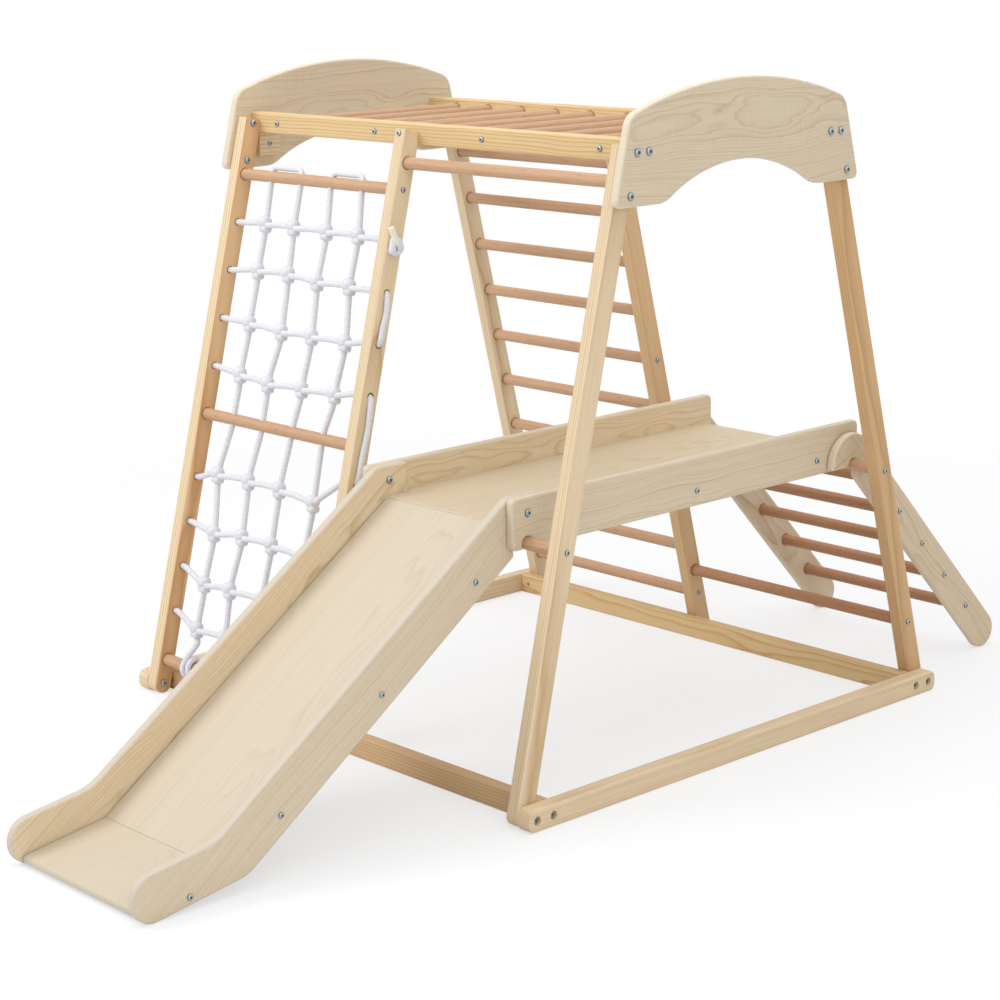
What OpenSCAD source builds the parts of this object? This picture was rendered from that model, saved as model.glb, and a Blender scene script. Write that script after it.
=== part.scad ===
// Indoor wooden climbing frame: leaning posts, monkey bars, rope net, platform with slide, hook-on ladder.
// X runs along the monkey bars, front (net and slide) is -Y, back (ladder) is +Y, the floor is z = 0.

/* [Frame] */
// Length between the inner faces of the end panels
frame_len = 1200; // [1140:10:1320]
// Distance of a post's foot bolt from the middle plane
foot_y = 607.5; // [590:2.5:640]
// Lean of the posts from upright, in degrees
lean_angle = 13.55; // [12.5:0.05:14]
// Height of the post tops
post_top = 1292; // [1270:2:1320]
// Width of a post along the frame
post_w = 31; // [28:1:36]
// Depth of a post across the frame
post_d = 45; // [42:1:50]
// Middle of the middle posts, from the middle of the frame
mid_x = -43; // [-60:1:-20]
// Rounding of the long edges of posts and rails
edge_r = 4; // [2:0.5:6]

/* [Rails] */
// Height of the top rails
rail_h = 46; // [42:1:50]
// Thickness of the top rails
rail_t = 30; // [28:1:36]
// Height of the base rails
base_h = 46; // [44:1:52]
// Thickness of the side base rails
side_rail_t = 32; // [30:1:38]
// Thickness of the long base rails
long_rail_t = 30; // [28:1:36]
// Reach of the side base rails past the foot bolts
side_rail_reach = 22.5; // [20:0.5:30]
// Rounding of the side base rails' ends
side_rail_end_r = 19; // [10:1:21]

/* [End panels] */
// Thickness of all boards
board_t = 20; // [18:0.5:22]
// Height of the arch's top above the post tops
panel_up = 106; // [90:1:120]
// Height of a panel, from its lower edge to the arch's top
panel_h = 234; // [226:1:246]
// Rise of the arch over the panel's sides
arch_rise = 58; // [50:1:72]
// Overhang of the panel past the outer faces of the posts
panel_over = 12; // [8:1:18]
// Height of the cut-out's arch above the lower edge
cutout_rise = 69; // [50:1:75]
// Radius of the cut-out's arch
cutout_r = 411; // [380:1:450]
// Rounding of the panel's upper corners
panel_corner_r = 28; // [15:1:32]
// Rounding of the panel's feet
panel_foot_r = 12; // [6:1:16]
// Size of a cleat block: thickness, width, height
cleat_size = [20, 58, 54]; // [10:1:70]
// Offset of a cleat from the face of its top rail
cleat_inset = 8; // [5:1:14]

/* [Rungs] */
// Diameter of every rung and bar
rung_d = 26; // [24:0.5:28]
// Depth of the bores that hold the rungs
seat = 14; // [10:1:16]
// Number of monkey bars
bar_count = 10; // [6:1:10]
// Distance of the outermost monkey bars from the ends of the frame
bar_end = 96; // [80:1:120]
// Number of rungs in the back ladder wall
back_count = 10; // [6:1:10]
// Drop of the back wall's top rung below the panels' lower edge
back_top_drop = 7; // [4:1:20]
// Height of the back wall's lowest rung
back_low_z = 101.3; // [95:0.1:140]
// Height of the grab bar above the panels' lower edge
grab_up = 47; // [45:1:52]
// Height of the two bars that carry the platform
carry_z = 515; // [480:1:560]
// Height of the low rung under the ladder
low_z = 160; // [130:1:220]

/* [Net] */
// Drop of the net's top rung below the panels' lower edge
net_top_drop = 9; // [4:1:20]
// Height of the net's middle rung
net_mid_z = 621; // [600:1:640]
// Height of the net's bottom rung
net_low_z = 75; // [70:1:90]
// Diameter of the rope
rope_d = 12; // [10:0.5:13]
// Diameter of a crossing clip
clip_d = 27; // [24:0.5:30]
// Depth of a crossing clip
clip_depth = 22; // [18:0.5:26]
// Bevel round the faces of a crossing clip
clip_edge = 5; // [3:0.5:6]
// Distance of the first upright rope from its post
col_first = 99; // [90:1:110]
// Distance of the last upright rope from the middle post
col_last = 99.5; // [90:0.5:110]
// Drop from the middle rung to the first row under it
lower_first = 140; // [120:1:150]
// Height of the last row above the bottom rung
lower_last = 109; // [100:1:120]
// Length of the cut rope end at a stopper knot
tail_len = 26; // [15:1:40]

/* [Platform] */
// Half of the width over the platform's side boards
plat_half_w = 223.5; // [210:0.5:228]
// Half of the length of the platform's side boards
plat_half_len = 530; // [524:1:545]
// Height of the platform's side boards
plat_h = 103; // [98:1:115]
// Height of the carrying bars' centres above the boards' lower edge
hook_depth = 11; // [8:0.5:14]
// Rounding of the platform boards' corners
plat_corner_r = 12; // [6:1:20]
// Thickness of the platform's floor
floor_t = 16; // [14:0.5:18]
// Half of the length of the platform's floor
floor_half_len = 499; // [497:0.5:503]
// Spacing of the floor's screws
floor_screw_pitch = 388; // [340:1:400]

/* [Slide] */
// Slope of the run-out, in degrees
runout_angle = 8; // [6:0.5:9]
// Width of the side boards on the slope
slide_board_w = 106; // [100:1:110]
// Width of the side boards at the foot
slide_foot_w = 90; // [84:1:94]
// Distance of the slide's tip from the middle plane of the frame
slide_tip = 1426; // [1410:1:1440]
// Distance of the side boards' upper ends from the middle plane
slide_end = 437; // [425:1:445]
// Distance of the shoulder where the slope begins
slide_shoulder = 520; // [516:1:524]
// Depth of the sliding surface below the boards' upper edges
slide_depth = 66; // [60:1:70]
// Thickness of the sliding boards
slide_t = 15; // [12:0.5:17]
// Distance of the bend in the boards' upper edges from the slide's tip
runout_len = 182.5; // [170:0.5:195]
// Setback of the run-out's edge from the slide's tip
runout_back = 22; // [16:1:30]
// Rounding of the bend on the boards' upper side
bend_top_r = 110; // [60:5:140]
// Rounding of the bend on the boards' lower side
bend_low_r = 90; // [60:5:140]
// Places of the slide's screws, as shares of the way from the shoulder to the tip
slide_screw_shares = [0.1, 0.368, 0.639, 0.868]; // [0.08:0.001:0.9]

/* [Ladder] */
// Slope of the ladder, in degrees
ladder_angle = 46.8; // [45:0.1:49]
// Radius of the round head about the carrying bar
ladder_head_r = 70; // [64:1:74]
// Reach of the rail's lower edge below the carrying bar's centre
ladder_under = 12; // [8:1:14]
// Reach of the hook's lip below the carrying bar's centre
ladder_lip = 4; // [2:0.5:8]
// Number of the ladder's rungs
ladder_count = 5; // [4:1:5]
// Distance of the first rung from the carrying bar
ladder_first = 87; // [84:1:95]
// Spacing of the ladder's rungs
ladder_pitch = 123; // [115:1:125]

/* [Fasteners] */
// Diameter of a bolt's button head
head_d = 16; // [13:0.5:17]
// Height of a bolt's button head
head_h = 4.5; // [3:0.5:6]
// Diameter of the smaller screw heads
screw_head_d = 12; // [9:0.5:13]
// Diameter of a bolt's shank
shank_d = 6; // [5:0.5:7]
// Size of the socket across its flats
socket_af = 5; // [4:0.5:6]
// Length of a shank inside the wood that it holds
bite = 30; // [25:1:36]
// Diameter of the recesses in the side base rails
recess_d = 18; // [17.5:0.5:19]
// Depth of the recesses in the side base rails
recess_depth = 9; // [6:0.5:12]
// Diameter of a barrel nut
barrel_d = 9; // [8:0.5:10]

/* [Clearances] */
// Gap round rungs, ropes and shanks in their holes
hole_gap = 0.2; // [0.1:0.05:0.5]
// Gap between a hook and its carrying bar
hook_gap = 0.4; // [0.3:0.1:1]
// Gap between the ladder's rails and the platform
side_gap = 1; // [0.5:0.25:3]
// Joint gap between the platform's floor and the slide
joint_gap = 0.6; // [0.4:0.1:1.5]

/* [Hidden] */
$fn = 48;
arc_steps = 14;
pine = "#e3c08a";
beech = "#d6a078";
board = "#d8c8a8";
pale_board = "#e9dcbf";
rope_white = "#efeef3";
zinc = "#b4bec6";

lean = tan(lean_angle);
foot_z = base_h / 2;
half_len = frame_len / 2;
end_x = half_len - post_w / 2;
panel_top = post_top + panel_up;
panel_bottom = panel_top - panel_h;
panel_shoulder = panel_top - arch_rise;
rail_bottom = post_top - rail_h;
rail_z = post_top - rail_h / 2;
half_post = post_d / 2 / cos(lean_angle);
rail_face = post_y(rail_bottom) - half_post;
rail_mid = rail_face - rail_t / 2;
long_face = post_y(base_h) - half_post;
long_mid = long_face - long_rail_t / 2;
side_rail_half = foot_y + side_rail_reach;
mid_right = mid_x + post_w / 2;
mid_left = mid_x - post_w / 2;
bay_left = end_x - post_w / 2;
unit_x = (mid_right + bay_left) / 2;
carry_y = post_y(carry_z);
plat_bottom = carry_z - hook_depth;
plat_top = plat_bottom + plat_h;
floor_bottom = carry_z + rung_d / 2 + hook_gap;
floor_top = floor_bottom + floor_t;
inner_half_w = plat_half_w - board_t;
chute_half_w = inner_half_w - board_t;
slide_step = carry_y + rung_d / 2 + hook_depth / 2;
rope_out = rope_d / 2 + hole_gap;
left_out = -half_len - rope_out;
right_out = mid_right + rope_out;
rope_bend_d = rope_d + 2 * hole_gap;
rope_short = rope_d / 12;
rope_kink = rope_d / 3;
clip_core = rope_d * 3 / 4;
stopper_r = rope_d * 3 / 4;
hitch_share = 0.46;
hitch_off = rope_d * hitch_share;
rope_hole_d = rope_d + 4 * hole_gap;
rope_bore_d = rope_d + 2 * hole_gap;
shank_hole_d = shank_d + 2 * hole_gap;
rung_hole_d = rung_d + 2 * hole_gap;
ring_r = rung_d / 2 + rope_d / 2 + hole_gap;
barrel_in = 25;
overlap = 0.01;
cut = 200;

// rope rows: heights of the post holes, and rise of each row's clips over its holes
net_z = [panel_bottom - net_top_drop, net_mid_z, net_low_z];
upper_pitch = (net_z[0] - net_z[1]) / 5;
lower_pitch = (net_z[1] - net_z[2] - lower_first - lower_last) / 3;
col_pitch = (bay_left + mid_left - col_first - col_last) / 3;
row_z = concat([for (i = [1 : 4]) net_z[0] - i * upper_pitch],
               [for (i = [0 : 3]) net_z[1] - lower_first - i * lower_pitch]);
carry_clear = carry_z + rung_d / 2 + rope_d + edge_r;
right_row_z = [for (i = [0 : len(row_z) - 1])
    i > 0 && i % 2 == 0 && row_z[i] < carry_clear && row_z[i - 1] > carry_clear ? carry_clear : row_z[i]];
clip_rise_shares = [0.33, 0.67, -0.08, -0.58, 0.92, -1.08, -1.92, -2.17];
clip_rise = [for (share = clip_rise_shares) share * rope_d];
col_x = [for (k = [0 : 3]) -bay_left + col_first + k * col_pitch];

// rungs and bars: heights and spacings
grab_z = panel_bottom + grab_up;
back_top_z = panel_bottom - back_top_drop;
back_pitch = (back_top_z - back_low_z) / (back_count - 1);
bar_pitch = (frame_len - 2 * bar_end) / (bar_count - 1);

// panel: one straight-sided outline with an arched top and cut-out
panel_half_low = post_y(panel_bottom) + half_post + panel_over;
panel_half_high = post_y(panel_shoulder) + half_post + panel_over;
arch_r = (panel_half_high * panel_half_high + arch_rise * arch_rise) / (2 * arch_rise);
cutout_half = sqrt(2 * cutout_r * cutout_rise - cutout_rise * cutout_rise);
panel_bolt_z = [rail_z, panel_bottom + head_d + edge_r + edge_r / 2];

// slide: sloping line, run-out line and foot circle of the side boards
foot_r = slide_foot_w / 2;
foot_c = [-slide_tip + foot_r, foot_r];
foot_top_p = foot_c + foot_r * dir2(runout_angle + 90);
foot_low_p = foot_c + foot_r * dir2(runout_angle - 90);
bend_y = -slide_tip + runout_len;
bend_top = [bend_y, line_z(foot_top_p, runout_angle, bend_y)];
slope_p = [-slide_shoulder, plat_top];
slide_angle = atan((slope_p[1] - bend_top[1]) / (slope_p[0] - bend_top[0]));
slope_low_p = slope_p + slide_board_w * dir2(slide_angle - 90);
deck_p = slope_p + slide_depth * dir2(slide_angle - 90);
slide_screw_y = [for (share = slide_screw_shares) slide_shoulder + share * (slide_tip - slide_shoulder)];
runout_p = foot_top_p + slide_depth * dir2(runout_angle - 90);
bend_low = meet(slope_low_p, slide_angle, foot_low_p, runout_angle);
deck_bend = meet(deck_p, slide_angle, runout_p, runout_angle);
deck_start = -floor_half_len - joint_gap;
runout_end = -slide_tip + runout_back;

// ladder: rail lines about the back carrying bar
ladder_w = ladder_head_r + ladder_under;
ladder_mid = (ladder_head_r - ladder_under) / 2;
ladder_foot_r = ladder_w / 2;
ladder_len = (carry_z + ladder_mid * cos(ladder_angle) - ladder_foot_r) / sin(ladder_angle);
hook_r = rung_d / 2 + hook_gap;
ladder_tip = carry_y + ladder_at(ladder_len, ladder_mid)[0] + ladder_foot_r;
shift_y = (slide_tip - ladder_tip) / 2;
ladder_half_w = plat_half_w + side_gap;

// bolts into rungs: face, way the head points, front or back, height
rung_bolt_list = [
    [half_len, 1, -1, carry_z], [half_len, 1, 1, carry_z], [half_len, 1, 1, low_z],
    [-half_len, -1, -1, net_z[1]], [-half_len, -1, -1, net_z[2]],
    [-half_len, -1, 1, back_z(4)], [-half_len, -1, 1, back_z(9)],
    [mid_right, 1, -1, net_z[0]], [mid_right, 1, -1, net_z[2]],
    [mid_right, 1, 1, back_z(4)], [mid_right, 1, 1, back_z(9)]];

function post_y(z) = foot_y - lean * (z - foot_z);
function post_w_at(z) = (z - foot_z) / cos(lean_angle);
function back_z(i) = back_top_z - i * back_pitch;
function bar_x(i) = (i - (bar_count + 1) / 2) * bar_pitch;
function dir2(a) = [cos(a), sin(a)];
function line_z(p, a, y) = p[1] + tan(a) * (y - p[0]);
function meet(p, a, q, b) =
    let (y = (q[1] - p[1] + tan(a) * p[0] - tan(b) * q[0]) / (tan(a) - tan(b)))
    [y, line_z(p, a, y)];
function arc(c, r, from, to, steps = arc_steps) =
    [for (i = [0 : steps]) c + r * dir2(from + (to - from) * i / steps)];
function angle_of(v) = atan2(v[1], v[0]);
function turn(a) = a > 180 ? a - 360 : a < -180 ? a + 360 : a;
// arc that rounds the corner p between its neighbours
function fillet(before, p, after, r) =
    let (u = (before - p) / norm(before - p), v = (after - p) / norm(after - p),
         half = acos(u * v) / 2, mid = (u + v) / norm(u + v), c = p + r / sin(half) * mid,
         from = angle_of(p + u * r / tan(half) - c), to = angle_of(p + v * r / tan(half) - c))
    arc(c, r, from, from + turn(to - from), arc_steps / 2);
function ladder_at(s, n) = s * dir2(-ladder_angle) + n * dir2(90 - ladder_angle);

// shared shapes

module placed() {
    translate([0, shift_y, 0]) children();
}

// outline in y and z, extruded along x from x0
module plate(x0, t) {
    translate([x0, 0, 0]) rotate([90, 0, 90]) linear_extrude(t) children();
}

module round_rect(w, h, r) {
    union() {
        translate([-w / 2 + r, -h / 2]) square([w - 2 * r, h]);
        translate([-w / 2, -h / 2 + r]) square([w, h - 2 * r]);
        for (sx = [-1, 1], sy = [-1, 1])
            translate([sx * (w / 2 - r), sy * (h / 2 - r)]) circle(r);
    }
}

module post_frame(side) {
    translate([0, side * foot_y, foot_z]) rotate([side * lean_angle, 0, 0]) children();
}

module rod_x(x0, x1, y, z, d = rung_d) {
    translate([x0, y, z]) rotate([0, 90, 0]) cylinder(d = d, h = x1 - x0);
}

module bolt(shank, d = head_d) {
    difference() {
        union() {
            cylinder(d = d, h = head_h / 2);
            translate([0, 0, head_h / 2]) cylinder(d1 = d, d2 = d - head_h, h = head_h / 2);
            translate([0, 0, -shank]) cylinder(d = shank_d, h = shank + overlap);
        }
        translate([0, 0, head_h / 2]) cylinder(d = socket_af, h = head_h, $fn = 6);
    }
}

module bolt_hole(shank) {
    translate([0, 0, -shank - hole_gap]) cylinder(d = shank_hole_d, h = shank + hole_gap + overlap);
}

module cap_nut() {
    difference() {
        union() {
            cylinder(d = head_d, h = head_h / 2);
            translate([0, 0, head_h / 2]) cylinder(d1 = head_d, d2 = head_d - head_h, h = head_h / 2);
        }
        translate([0, 0, -overlap]) cylinder(d = shank_hole_d, h = head_h / 2 + overlap);
        translate([0, 0, head_h / 2 + overlap]) cylinder(d = socket_af, h = head_h, $fn = 6);
    }
}

// places of the fasteners

module at_panel_post_bolts() {
    for (sx = [-1, 1], sy = [-1, 1], z = panel_bolt_z)
        translate([sx * (half_len + board_t), sy * post_y(z), z]) rotate([0, 90 * sx, 0]) children();
}

module at_panel_rail_bolts() {
    for (sx = [-1, 1], sy = [-1, 1])
        translate([sx * (half_len + board_t), sy * rail_mid, rail_z]) rotate([0, 90 * sx, 0]) children();
}

module at_base_post_bolts() {
    for (sx = [-1, 1], sy = [-1, 1])
        translate([sx * (half_len + side_rail_t - recess_depth), sy * foot_y, foot_z])
            rotate([0, 90 * sx, 0]) children();
}

module at_base_rail_bolts() {
    for (sx = [-1, 1], sy = [-1, 1])
        translate([sx * (half_len + side_rail_t - recess_depth), sy * long_mid, foot_z])
            rotate([0, 90 * sx, 0]) children();
}

module at_inner_post_faces() {
    for (sx = [-1, 1], sy = [-1, 1], z = concat(panel_bolt_z, [foot_z]))
        translate([sx * bay_left, sy * post_y(z), z]) rotate([0, -90 * sx, 0]) children();
}

module at_rung_bolts() {
    for (b = rung_bolt_list)
        translate([b[0], b[2] * post_y(b[3]), b[3]]) rotate([0, 90 * b[1], 0]) children();
}

module at_bar_bolts() {
    for (sy = [-1, 1], i = [1 : 3 : bar_count])
        translate([bar_x(i), sy * rail_face, rail_z]) rotate([-90 * sy, 0, 0]) children();
}

module at_middle_rail_bolts() {
    for (sy = [-1, 1])
        post_frame(sy) translate([mid_x, sy * post_d / 2, post_w_at(rail_z)])
            rotate([-90 * sy, 0, 0]) children();
}

module at_cleats() {
    for (sx = [-1, 1], sy = [-1, 1])
        translate([sx * half_len, sy * (rail_face - cleat_inset), rail_bottom]) scale_side(sx, sy) children();
}

module scale_side(sx, sy) {
    mirror([sx > 0 ? 1 : 0, 0, 0]) mirror([0, sy > 0 ? 1 : 0, 0]) children();
}

// posts

module post_blank(x, side) {
    difference() {
        post_frame(side) intersection() {
            translate([x, 0, -post_d]) linear_extrude(post_top + post_d) round_rect(post_w, post_d, edge_r);
            plate(x - post_w, 2 * post_w) union() {
                circle(d = post_d);
                translate([-post_d / 2, 0]) square([post_d, post_top + post_d]);
            }
        }
        translate([x - cut / 2, side * rail_face - cut, post_top]) cube([cut, 2 * cut, cut]);
        translate([x - cut / 2, side > 0 ? rail_face - cut : -rail_face, rail_bottom]) cube([cut, cut, cut]);
        at_panel_post_bolts() bolt_hole(board_t + post_w);
        at_base_post_bolts() bolt_hole(side_rail_t + post_w);
        at_middle_rail_bolts() bolt_hole(post_d + bite);
        at_rung_bolts() bolt_hole(post_w);
    }
}

// bores on the post's face at x, opening towards +x or -x
module rung_bores(x, way, side, heights) {
    for (z = heights)
        rod_x(way > 0 ? x - seat : x - overlap, way > 0 ? x + overlap : x + seat,
              side * post_y(z), z, rung_hole_d);
}

module rope_bores(x, heights) {
    for (z = heights) rod_x(x - post_w, x + post_w, -post_y(z), z, rope_hole_d);
}

back_heights = [for (i = [0 : back_count - 1]) back_z(i)];

module front_left_post() {
    color(pine) difference() {
        post_blank(-end_x, -1);
        rung_bores(-bay_left, 1, -1, net_z);
        rope_bores(-end_x, row_z);
    }
}

module front_middle_post() {
    color(pine) difference() {
        post_blank(mid_x, -1);
        rung_bores(mid_left, -1, -1, net_z);
        rung_bores(mid_right, 1, -1, [grab_z, carry_z]);
        rope_bores(mid_x, right_row_z);
    }
}

module front_right_post() {
    color(pine) difference() {
        post_blank(end_x, -1);
        rung_bores(bay_left, -1, -1, [grab_z, carry_z]);
    }
}

module back_left_post() {
    color(pine) difference() {
        post_blank(-end_x, 1);
        rung_bores(-bay_left, 1, 1, back_heights);
    }
}

module back_middle_post() {
    color(pine) difference() {
        post_blank(mid_x, 1);
        rung_bores(mid_left, -1, 1, back_heights);
        rung_bores(mid_right, 1, 1, [carry_z, low_z]);
    }
}

module back_right_post() {
    color(pine) difference() {
        post_blank(end_x, 1);
        rung_bores(bay_left, -1, 1, [carry_z, low_z]);
    }
}

// rails and panels

module top_rail(side) {
    color(pine) difference() {
        translate([0, side * rail_mid, rail_z])
            plate(-half_len, frame_len) round_rect(rail_t, rail_h, edge_r);
        for (i = [1 : bar_count])
            translate([bar_x(i), side * (rail_face - rail_t), rail_z]) rotate([-90 * side, 0, 0])
                translate([0, 0, -overlap]) cylinder(d = rung_hole_d, h = seat + overlap);
        at_bar_bolts() bolt_hole(rail_t);
        at_panel_rail_bolts() bolt_hole(board_t + barrel_in + bite);
        at_middle_rail_bolts() bolt_hole(post_d + bite / 2);
        for (sx = [-1, 1]) barrel(sx, side * rail_mid, rail_z, rail_t, hole_gap);
    }
}

// barrel nut, or its hole with a gap, across a rail near the frame's end
module barrel(sx, y, z, len, gap = 0) {
    difference() {
        translate([sx * (half_len - barrel_in), y - len / 2 - gap, z])
            rotate([-90, 0, 0]) cylinder(d = barrel_d + 2 * gap, h = len + 2 * gap);
        if (gap == 0) rod_x(-half_len, half_len, y, z, shank_hole_d);
    }
}

module end_panel(sx) {
    arch_c = [0, panel_top - arch_r];
    arch_half = asin(panel_half_high / arch_r);
    cut_c = [0, panel_bottom + cutout_rise - cutout_r];
    cut_half = asin(cutout_half / cutout_r);
    arch_share = 0.82;
    side_share = 0.9;
    corner = [panel_half_high, panel_shoulder];
    low = [panel_half_low, panel_bottom];
    arch_pts = arc(arch_c, arch_r, 90 - arch_half * arch_share, 90 + arch_half * arch_share, 2 * arc_steps);
    cut_pts = arc(cut_c, cutout_r, 90 + cut_half * side_share, 90 - cut_half * side_share, 2 * arc_steps);
    cut_right = [cutout_half, panel_bottom];
    cut_left = [-cutout_half, panel_bottom];
    corner_left = [-panel_half_high, panel_shoulder];
    low_left = [-panel_half_low, panel_bottom];
    last = 2 * arc_steps;
    color(board) difference() {
        plate(sx > 0 ? half_len : -half_len - board_t, board_t) polygon(concat(
            fillet(low, corner, arch_pts[0], panel_corner_r),
            arch_pts,
            fillet(arch_pts[last], corner_left, low_left, panel_corner_r),
            fillet(corner_left, low_left, cut_left, panel_foot_r),
            fillet(low_left, cut_left, cut_pts[0], panel_corner_r),
            cut_pts,
            fillet(cut_pts[last], cut_right, low, panel_corner_r),
            fillet(cut_right, low, corner, panel_foot_r)));
        at_panel_post_bolts() bolt_hole(board_t + post_w);
        at_panel_rail_bolts() bolt_hole(board_t + bite);
        at_cleats() translate([cleat_size[0], cleat_size[1] / 2, -cleat_size[2] / 2])
            rotate([0, 90, 0]) bolt_hole(cleat_size[0] + board_t / 2);
    }
}

module left_end_panel() { end_panel(-1); }

module right_end_panel() { end_panel(1); }

module side_base_rail(sx) {
    color(pine) difference() {
        intersection() {
            translate([sx * (half_len + side_rail_t / 2), side_rail_half, foot_z]) rotate([90, 0, 0])
                linear_extrude(2 * side_rail_half) round_rect(side_rail_t, base_h, edge_r);
            translate([0, 0, foot_z]) plate(sx > 0 ? half_len : -half_len - side_rail_t, side_rail_t)
                round_rect(2 * side_rail_half, base_h, side_rail_end_r);
        }
        at_base_post_bolts() recess();
        at_base_rail_bolts() recess();
        at_base_post_bolts() bolt_hole(side_rail_t + bite);
        at_base_rail_bolts() bolt_hole(side_rail_t + bite);
    }
}

module recess() {
    cylinder(d = recess_d, h = cut);
}

module left_base_rail() { side_base_rail(-1); }

module right_base_rail() { side_base_rail(1); }

module long_base_rail(side) {
    color(pine) difference() {
        translate([0, side * long_mid, foot_z])
            plate(-half_len, frame_len) round_rect(long_rail_t, base_h, edge_r);
        at_base_rail_bolts() bolt_hole(side_rail_t + barrel_in + bite);
        for (sx = [-1, 1]) barrel(sx, side * long_mid, foot_z, long_rail_t, hole_gap);
    }
}

module front_top_rail() { top_rail(-1); }

module back_top_rail() { top_rail(1); }

module front_base_rail() { long_base_rail(-1); }

module back_base_rail() { long_base_rail(1); }

module rail_cleats() {
    color(pine) at_cleats() difference() {
        translate([0, 0, -cleat_size[2]]) cube(cleat_size);
        translate([cleat_size[0], cleat_size[1] / 2, -cleat_size[2] / 2])
            rotate([0, 90, 0]) bolt_hole(cleat_size[0] + board_t / 2);
    }
}

// rungs and bars

module monkey_bar(i) {
    reach = rail_face - rail_t + seat;
    color(beech) difference() {
        translate([bar_x(i), -reach, rail_z]) rotate([-90, 0, 0]) cylinder(d = rung_d, h = 2 * reach);
        at_bar_bolts() bolt_hole(rail_t - seat + bite);
    }
}

// rung between two facing post faces, held in their bores
module held_rung(x0, x1, side, z) {
    color(beech) difference() {
        rod_x(x0 - seat, x1 + seat, side * post_y(z), z);
        at_rung_bolts() bolt_hole(post_w - seat + bite);
    }
}

module back_wall_rungs() {
    for (z = back_heights) held_rung(-bay_left, mid_left, 1, z);
}

module net_rung(i) {
    color(beech) difference() {
        held_rung(-bay_left, mid_left, -1, net_z[i]);
        if (i < 2)
            uprights(rope_hole_d, post_w_at(net_z[i]) - rung_d, post_w_at(net_z[i]) + rung_d, [0, 1, 2, 3]);
    }
}

module net_top_rung() { net_rung(0); }

module net_middle_rung() { net_rung(1); }

module net_bottom_rung() { net_rung(2); }

module front_grab_bar() { held_rung(mid_right, bay_left, -1, grab_z); }

module front_carry_bar() { held_rung(mid_right, bay_left, -1, carry_z); }

module back_carry_bar() { held_rung(mid_right, bay_left, 1, carry_z); }

module back_low_rung() { held_rung(mid_right, bay_left, 1, low_z); }

// rope net, drawn in the plane of the front posts

module uprights(d, from, to, cols) {
    for (k = cols) post_frame(-1) translate([col_x[k], 0, from]) cylinder(d = d, h = to - from);
}

// moves children from the net's point p so that their +z axis points at q
module along(p, q) {
    translate([p[0], 0, p[1]]) rotate([0, atan2(q[0] - p[0], q[1] - p[1]), 0]) children();
}

// straight run from p to q, begun and ended short of them
module rope_bar(p, q, from = rope_short, to = rope_short) {
    along(p, q) translate([0, 0, from]) cylinder(d = rope_d, h = norm(q - p) - from - to);
}

module rope_bend(p) {
    translate([p[0], 0, p[1]]) sphere(d = rope_bend_d);
}

function hole_w(r) = post_w_at(row_z[r]);
function clip_at(r, k) = [col_x[k], post_w_at(row_z[r] + clip_rise[r])];
function left_in(r) = [-bay_left + rope_d, hole_w(r)];
function right_in(r) = [mid_left - rope_d, post_w_at(right_row_z[r])];

module net_loop(cols) {
    top_w = post_w_at(net_z[0]) + rung_d / 2 + rope_d / 2 + hole_gap;
    low_w = post_w_at(net_z[2]);
    tops = [for (k = cols) [col_x[k], top_w]];
    color(rope_white) post_frame(-1) {
        rope_bar(tops[0], tops[1]);
        for (t = tops) {
            rope_bend(t);
            rope_bar(t, [t[0], low_w + ring_r]);
        }
        for (k = cols, s = [-1, 1])
            translate([col_x[k] + s * hitch_off, 0, low_w]) rotate([0, 90, 0])
                rotate_extrude() translate([ring_r, 0]) circle(d = rope_d);
    }
}

module net_left_loop() { net_loop([0, 1]); }

module net_right_loop() { net_loop([2, 3]); }

// run down a post's outer face at x, with a stub through the post at each end
module row_turn(in_a, in_b, x) {
    out_a = [x, in_a[1]];
    out_b = [x, in_b[1]];
    rope_bar(in_a, out_a, 0, rope_short);
    rope_bend(out_a);
    rope_bar(out_a, out_b);
    rope_bend(out_b);
    rope_bar(in_b, out_b, 0, rope_short);
}

// last end of the rope: a stopper knot on the post's face, with its tail
module row_stop(inside) {
    rope_bar(inside, [right_out, inside[1]], 0, 0);
    translate([right_out, 0, inside[1]]) rotate([0, 90, 0])
        rotate_extrude() translate([stopper_r, 0]) circle(d = rope_d);
    translate([right_out, 0, inside[1] + stopper_r]) rotate([lean_angle, 0, 0])
        cylinder(d = rope_d - hole_gap, h = tail_len);
}

// one crossing rope, drawn up to the upright ropes inside its clips
module net_crossing_rope() {
    last = len(row_z) - 1;
    color(rope_white) post_frame(-1) {
        for (r = [0 : last]) {
            rope_bar(left_in(r), clip_at(r, 0), rope_kink, clip_core);
            for (k = [0 : 2]) rope_bar(clip_at(r, k), clip_at(r, k + 1), clip_core, clip_core);
            rope_bar(right_in(r), clip_at(r, 3), rope_kink, clip_core);
        }
        for (r = [0 : 2 : last - 1]) row_turn(left_in(r), left_in(r + 1), left_out);
        for (r = [1 : 2 : last - 1]) row_turn(right_in(r), right_in(r + 1), right_out);
        for (r = [0, last]) row_stop(right_in(r));
    }
}

// moulded clip: a round body with a bore for the upright rope and for the row's two sides
module net_clip(r, k) {
    c = clip_at(r, k);
    ends = [k > 0 ? clip_at(r, k - 1) : left_in(r), k < 3 ? clip_at(r, k + 1) : right_in(r)];
    flat = clip_d / 2 - clip_edge;
    half = clip_depth / 2;
    difference() {
        translate([c[0], 0, c[1]]) rotate([90, 0, 0]) rotate_extrude() polygon([
            [0, -half], [flat, -half], [clip_d / 2, clip_edge - half],
            [clip_d / 2, half - clip_edge], [flat, half], [0, half]]);
        translate([c[0], 0, c[1] - clip_d]) cylinder(d = rope_bore_d, h = 2 * clip_d);
        for (e = ends) along(c, e) translate([0, 0, rope_d / 4]) cylinder(d = rope_hole_d, h = clip_d);
    }
}

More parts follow.
